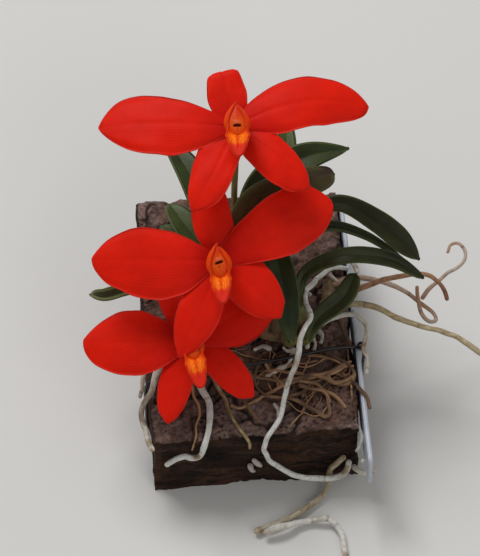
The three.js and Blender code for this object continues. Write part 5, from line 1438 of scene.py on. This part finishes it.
class ORCHID_OT_living_roots(bpy.types.Operator):
    """Builds the white and reddish living roots"""
    bl_idname = "orchid.living_roots"
    bl_label = "Living Roots"

    def execute(self, context):
        settings = context.scene.orchid_roots
        finish = root_finish("root_velamen")
        slots = {"white": "root", "red": "red_root", "dry": "dry_root"}
        for number, (name, root) in enumerate(ROOTS.items()):
            skin = root_skin(settings, root, number)
            make_piece(f"{name}_strand", skin, finish, slots[root["kind"]], name)
        return {"FINISHED"}


class ORCHID_OT_dry_roots(bpy.types.Operator):
    """Builds the mat of dry roots with its loose fibres and pale stubs"""
    bl_idname = "orchid.dry_roots"
    bl_label = "Dry Roots"

    def execute(self, context):
        settings = context.scene.orchid_roots
        radius = settings.dry_radius / MM
        light, dark_shade = np.array(settings.dry_root_colour), np.array(settings.dry_shade_colour)
        skins = []
        for number, line in enumerate(DRY_ROOTS):
            wide = radius * (0.75 + 0.5 * cell_value(number, 2, 7))
            skin = tube_skin(line, lambda along, angle:
                             wide * (1 + 0.4 * (noise(along / 2.4, number, 3) - 0.5)),
                             sides=10, spacing=0.5, bend=0.5, seed=number)
            tone = noise(skin.chart[:, 0] / 3, skin.chart[:, 1] + number, 5)
            # Tan and dark brown mixed at random: partly the roots' own tones, partly painted light and
            # shade
            skin.paint = blend(light, dark_shade, np.clip(tone * 0.8 + 0.25 * (number % 3), 0, 1))
            skins.append(skin)
        lines = fibre_lines(context.scene.orchid_bark, settings.fibre_count, settings.fibre_seed)
        for number, line in enumerate(lines):
            thin = radius * (0.25 + 0.4 * cell_value(number, 3, 5))
            skin = tube_skin(line, lambda along, angle: thin * (1 + 0.3 * np.cos(along)), sides=6,
                             spacing=0.9)
            # The same tan and dark brown, partly painted light and shade
            skins.append(plain_paint(skin, blend(light, dark_shade, 0.75 * cell_value(number, 7, 9))))
        finish = plain_finish("dry_root_skin", (500.0, 0.2), (2200.0, 0.2), 0.00015, (0.7, 0.9))
        make_piece("matted_dry_roots", joined(skins), finish, "dry_root", "dry_root_mat")
        stubs = []
        for number, line in enumerate(STUBS):
            skin = tube_skin(line, lambda along, angle: 0.62 * (1 + 0.3 * np.cos(along * 1.1 + number)),
                             sides=12, spacing=0.4, bend=0.4, seed=number)
            patch = noise(skin.chart[:, 0] / 1.2, skin.chart[:, 1] + number, 5)
            skin.paint = blend(settings.white_root_colour, settings.worn_root_colour, 0.8 * patch)
            stubs.append(skin)
        make_piece("pale_root_stubs", joined(stubs), root_finish("stub_velamen"), "root")
        return {"FINISHED"}


class ORCHID_OT_studio_stage(bpy.types.Operator):
    """Sets the pale floor, the soft lights and the camera"""
    bl_idname = "orchid.studio_stage"
    bl_label = "Studio Stage"

    def execute(self, context):
        scene = context.scene
        settings = scene.orchid_stage
        half = settings.floor_size / 2
        mesh = bpy.data.meshes.new("studio_floor")
        steps = np.linspace(-half, half, 9)
        x, y = np.meshgrid(steps, steps, indexing="ij")
        corners = np.stack([x, y, 0 * x], axis=-1).reshape(-1, 3)
        mesh.from_pydata(corners.tolist(), [], grid_faces(np.arange(81).reshape(9, 9)).tolist())
        board = Board("pale_floor")
        colour = board.shaded((*settings.floor_colour, 1.0), (board.noise(6.0), 0.3, 0.7, 0.97, 1.0))
        mesh.materials.append(board.finish(colour, 0.8, board.noise(900.0), 0.0001, 0.2))
        floor = bpy.data.objects.new("studio_floor", mesh)
        scene.collection.objects.link(floor)
        world = bpy.data.worlds.new("studio_sky")
        world.use_nodes = True
        sky = world.node_tree.nodes["Background"]
        sky.inputs["Color"].default_value = (1.0, 0.99, 0.97, 1.0)
        sky.inputs["Strength"].default_value = settings.sky
        scene.world = world
        scene.view_settings.view_transform = "Standard"
        powers = {"key": settings.key_power, "fill": settings.fill_power}
        for name, (place, width) in LIGHTS.items():
            light = bpy.data.lights.new(f"{name}_light", "AREA")
            light.shape = "DISK"
            light.size = width
            light.energy = powers[name]
            lamp = bpy.data.objects.new(f"{name}_light", light)
            lamp.location = place
            aim = unit(np.array(place) - np.array([0, 0, 0.04]))
            lamp.rotation_euler = look_along(aim, np.array([0, 1.0, 0])).to_euler()
            scene.collection.objects.link(lamp)
        camera = bpy.data.cameras.new("view")
        camera.lens = settings.camera_lens
        camera.sensor_width = 36.0
        camera.clip_end = 20.0
        viewer = bpy.data.objects.new("view", camera)
        turn, rise = settings.camera_azimuth, settings.camera_elevation
        back = np.array([math.sin(turn) * math.cos(rise), -math.cos(turn) * math.cos(rise), math.sin(rise)])
        target = np.array(VIEW_POINT) * MM
        viewer.matrix_world = (Matrix.Translation(target + back * settings.camera_distance)
                               @ look_along(back, np.array([0, 0, 1.0])).to_4x4())
        scene.collection.objects.link(viewer)
        scene.camera = viewer
        return {"FINISHED"}


def look_along(back, up):
    """A rotation whose Z axis is back and whose Y axis is as near up as it can be."""
    right = unit(np.cross(up, back))
    return Matrix(np.stack([right, np.cross(back, right), back], axis=1).tolist())


STEPS = (ORCHID_OT_studio_stage, ORCHID_OT_bark_block, ORCHID_OT_tie_wire, ORCHID_OT_plant_label,
         ORCHID_OT_creeping_stem, ORCHID_OT_flower_stalks, ORCHID_OT_flower_columns,
         ORCHID_OT_flower_lips, ORCHID_OT_petals_and_sepals, ORCHID_OT_leaves,
         ORCHID_OT_living_roots, ORCHID_OT_dry_roots)


class ORCHID_PT_panel(bpy.types.Panel):
    """Lists the orchid's builders and their settings"""
    bl_label = "Mounted Orchid"
    bl_idname = "ORCHID_PT_panel"
    bl_space_type = "VIEW_3D"
    bl_region_type = "UI"
    bl_category = "Orchid"

    def draw(self, context):
        for step in STEPS:
            self.layout.operator(step.bl_idname)
        for name, group in SETTINGS.items():
            box = self.layout.box()
            for field in group.__annotations__:
                box.prop(getattr(context.scene, name), field)


def register():
    """Makes the classes known to Blender and hangs each group of settings on the scene."""
    for group in (*SETTINGS.values(), *STEPS, ORCHID_PT_panel):
        bpy.utils.register_class(group)
    for name, group in SETTINGS.items():
        setattr(bpy.types.Scene, name, bpy.props.PointerProperty(type=group))


def unregister():
    """Takes the settings and the classes out again."""
    for name in SETTINGS:
        delattr(bpy.types.Scene, name)
    for group in (ORCHID_PT_panel, *reversed(STEPS), *reversed(list(SETTINGS.values()))):
        bpy.utils.unregister_class(group)


def main():
    """Builds every piece and the stage."""
    register()
    for step in STEPS:
        group, name = step.bl_idname.split(".")
        getattr(getattr(bpy.ops, group), name)()


if __name__ == "__main__":
    main()
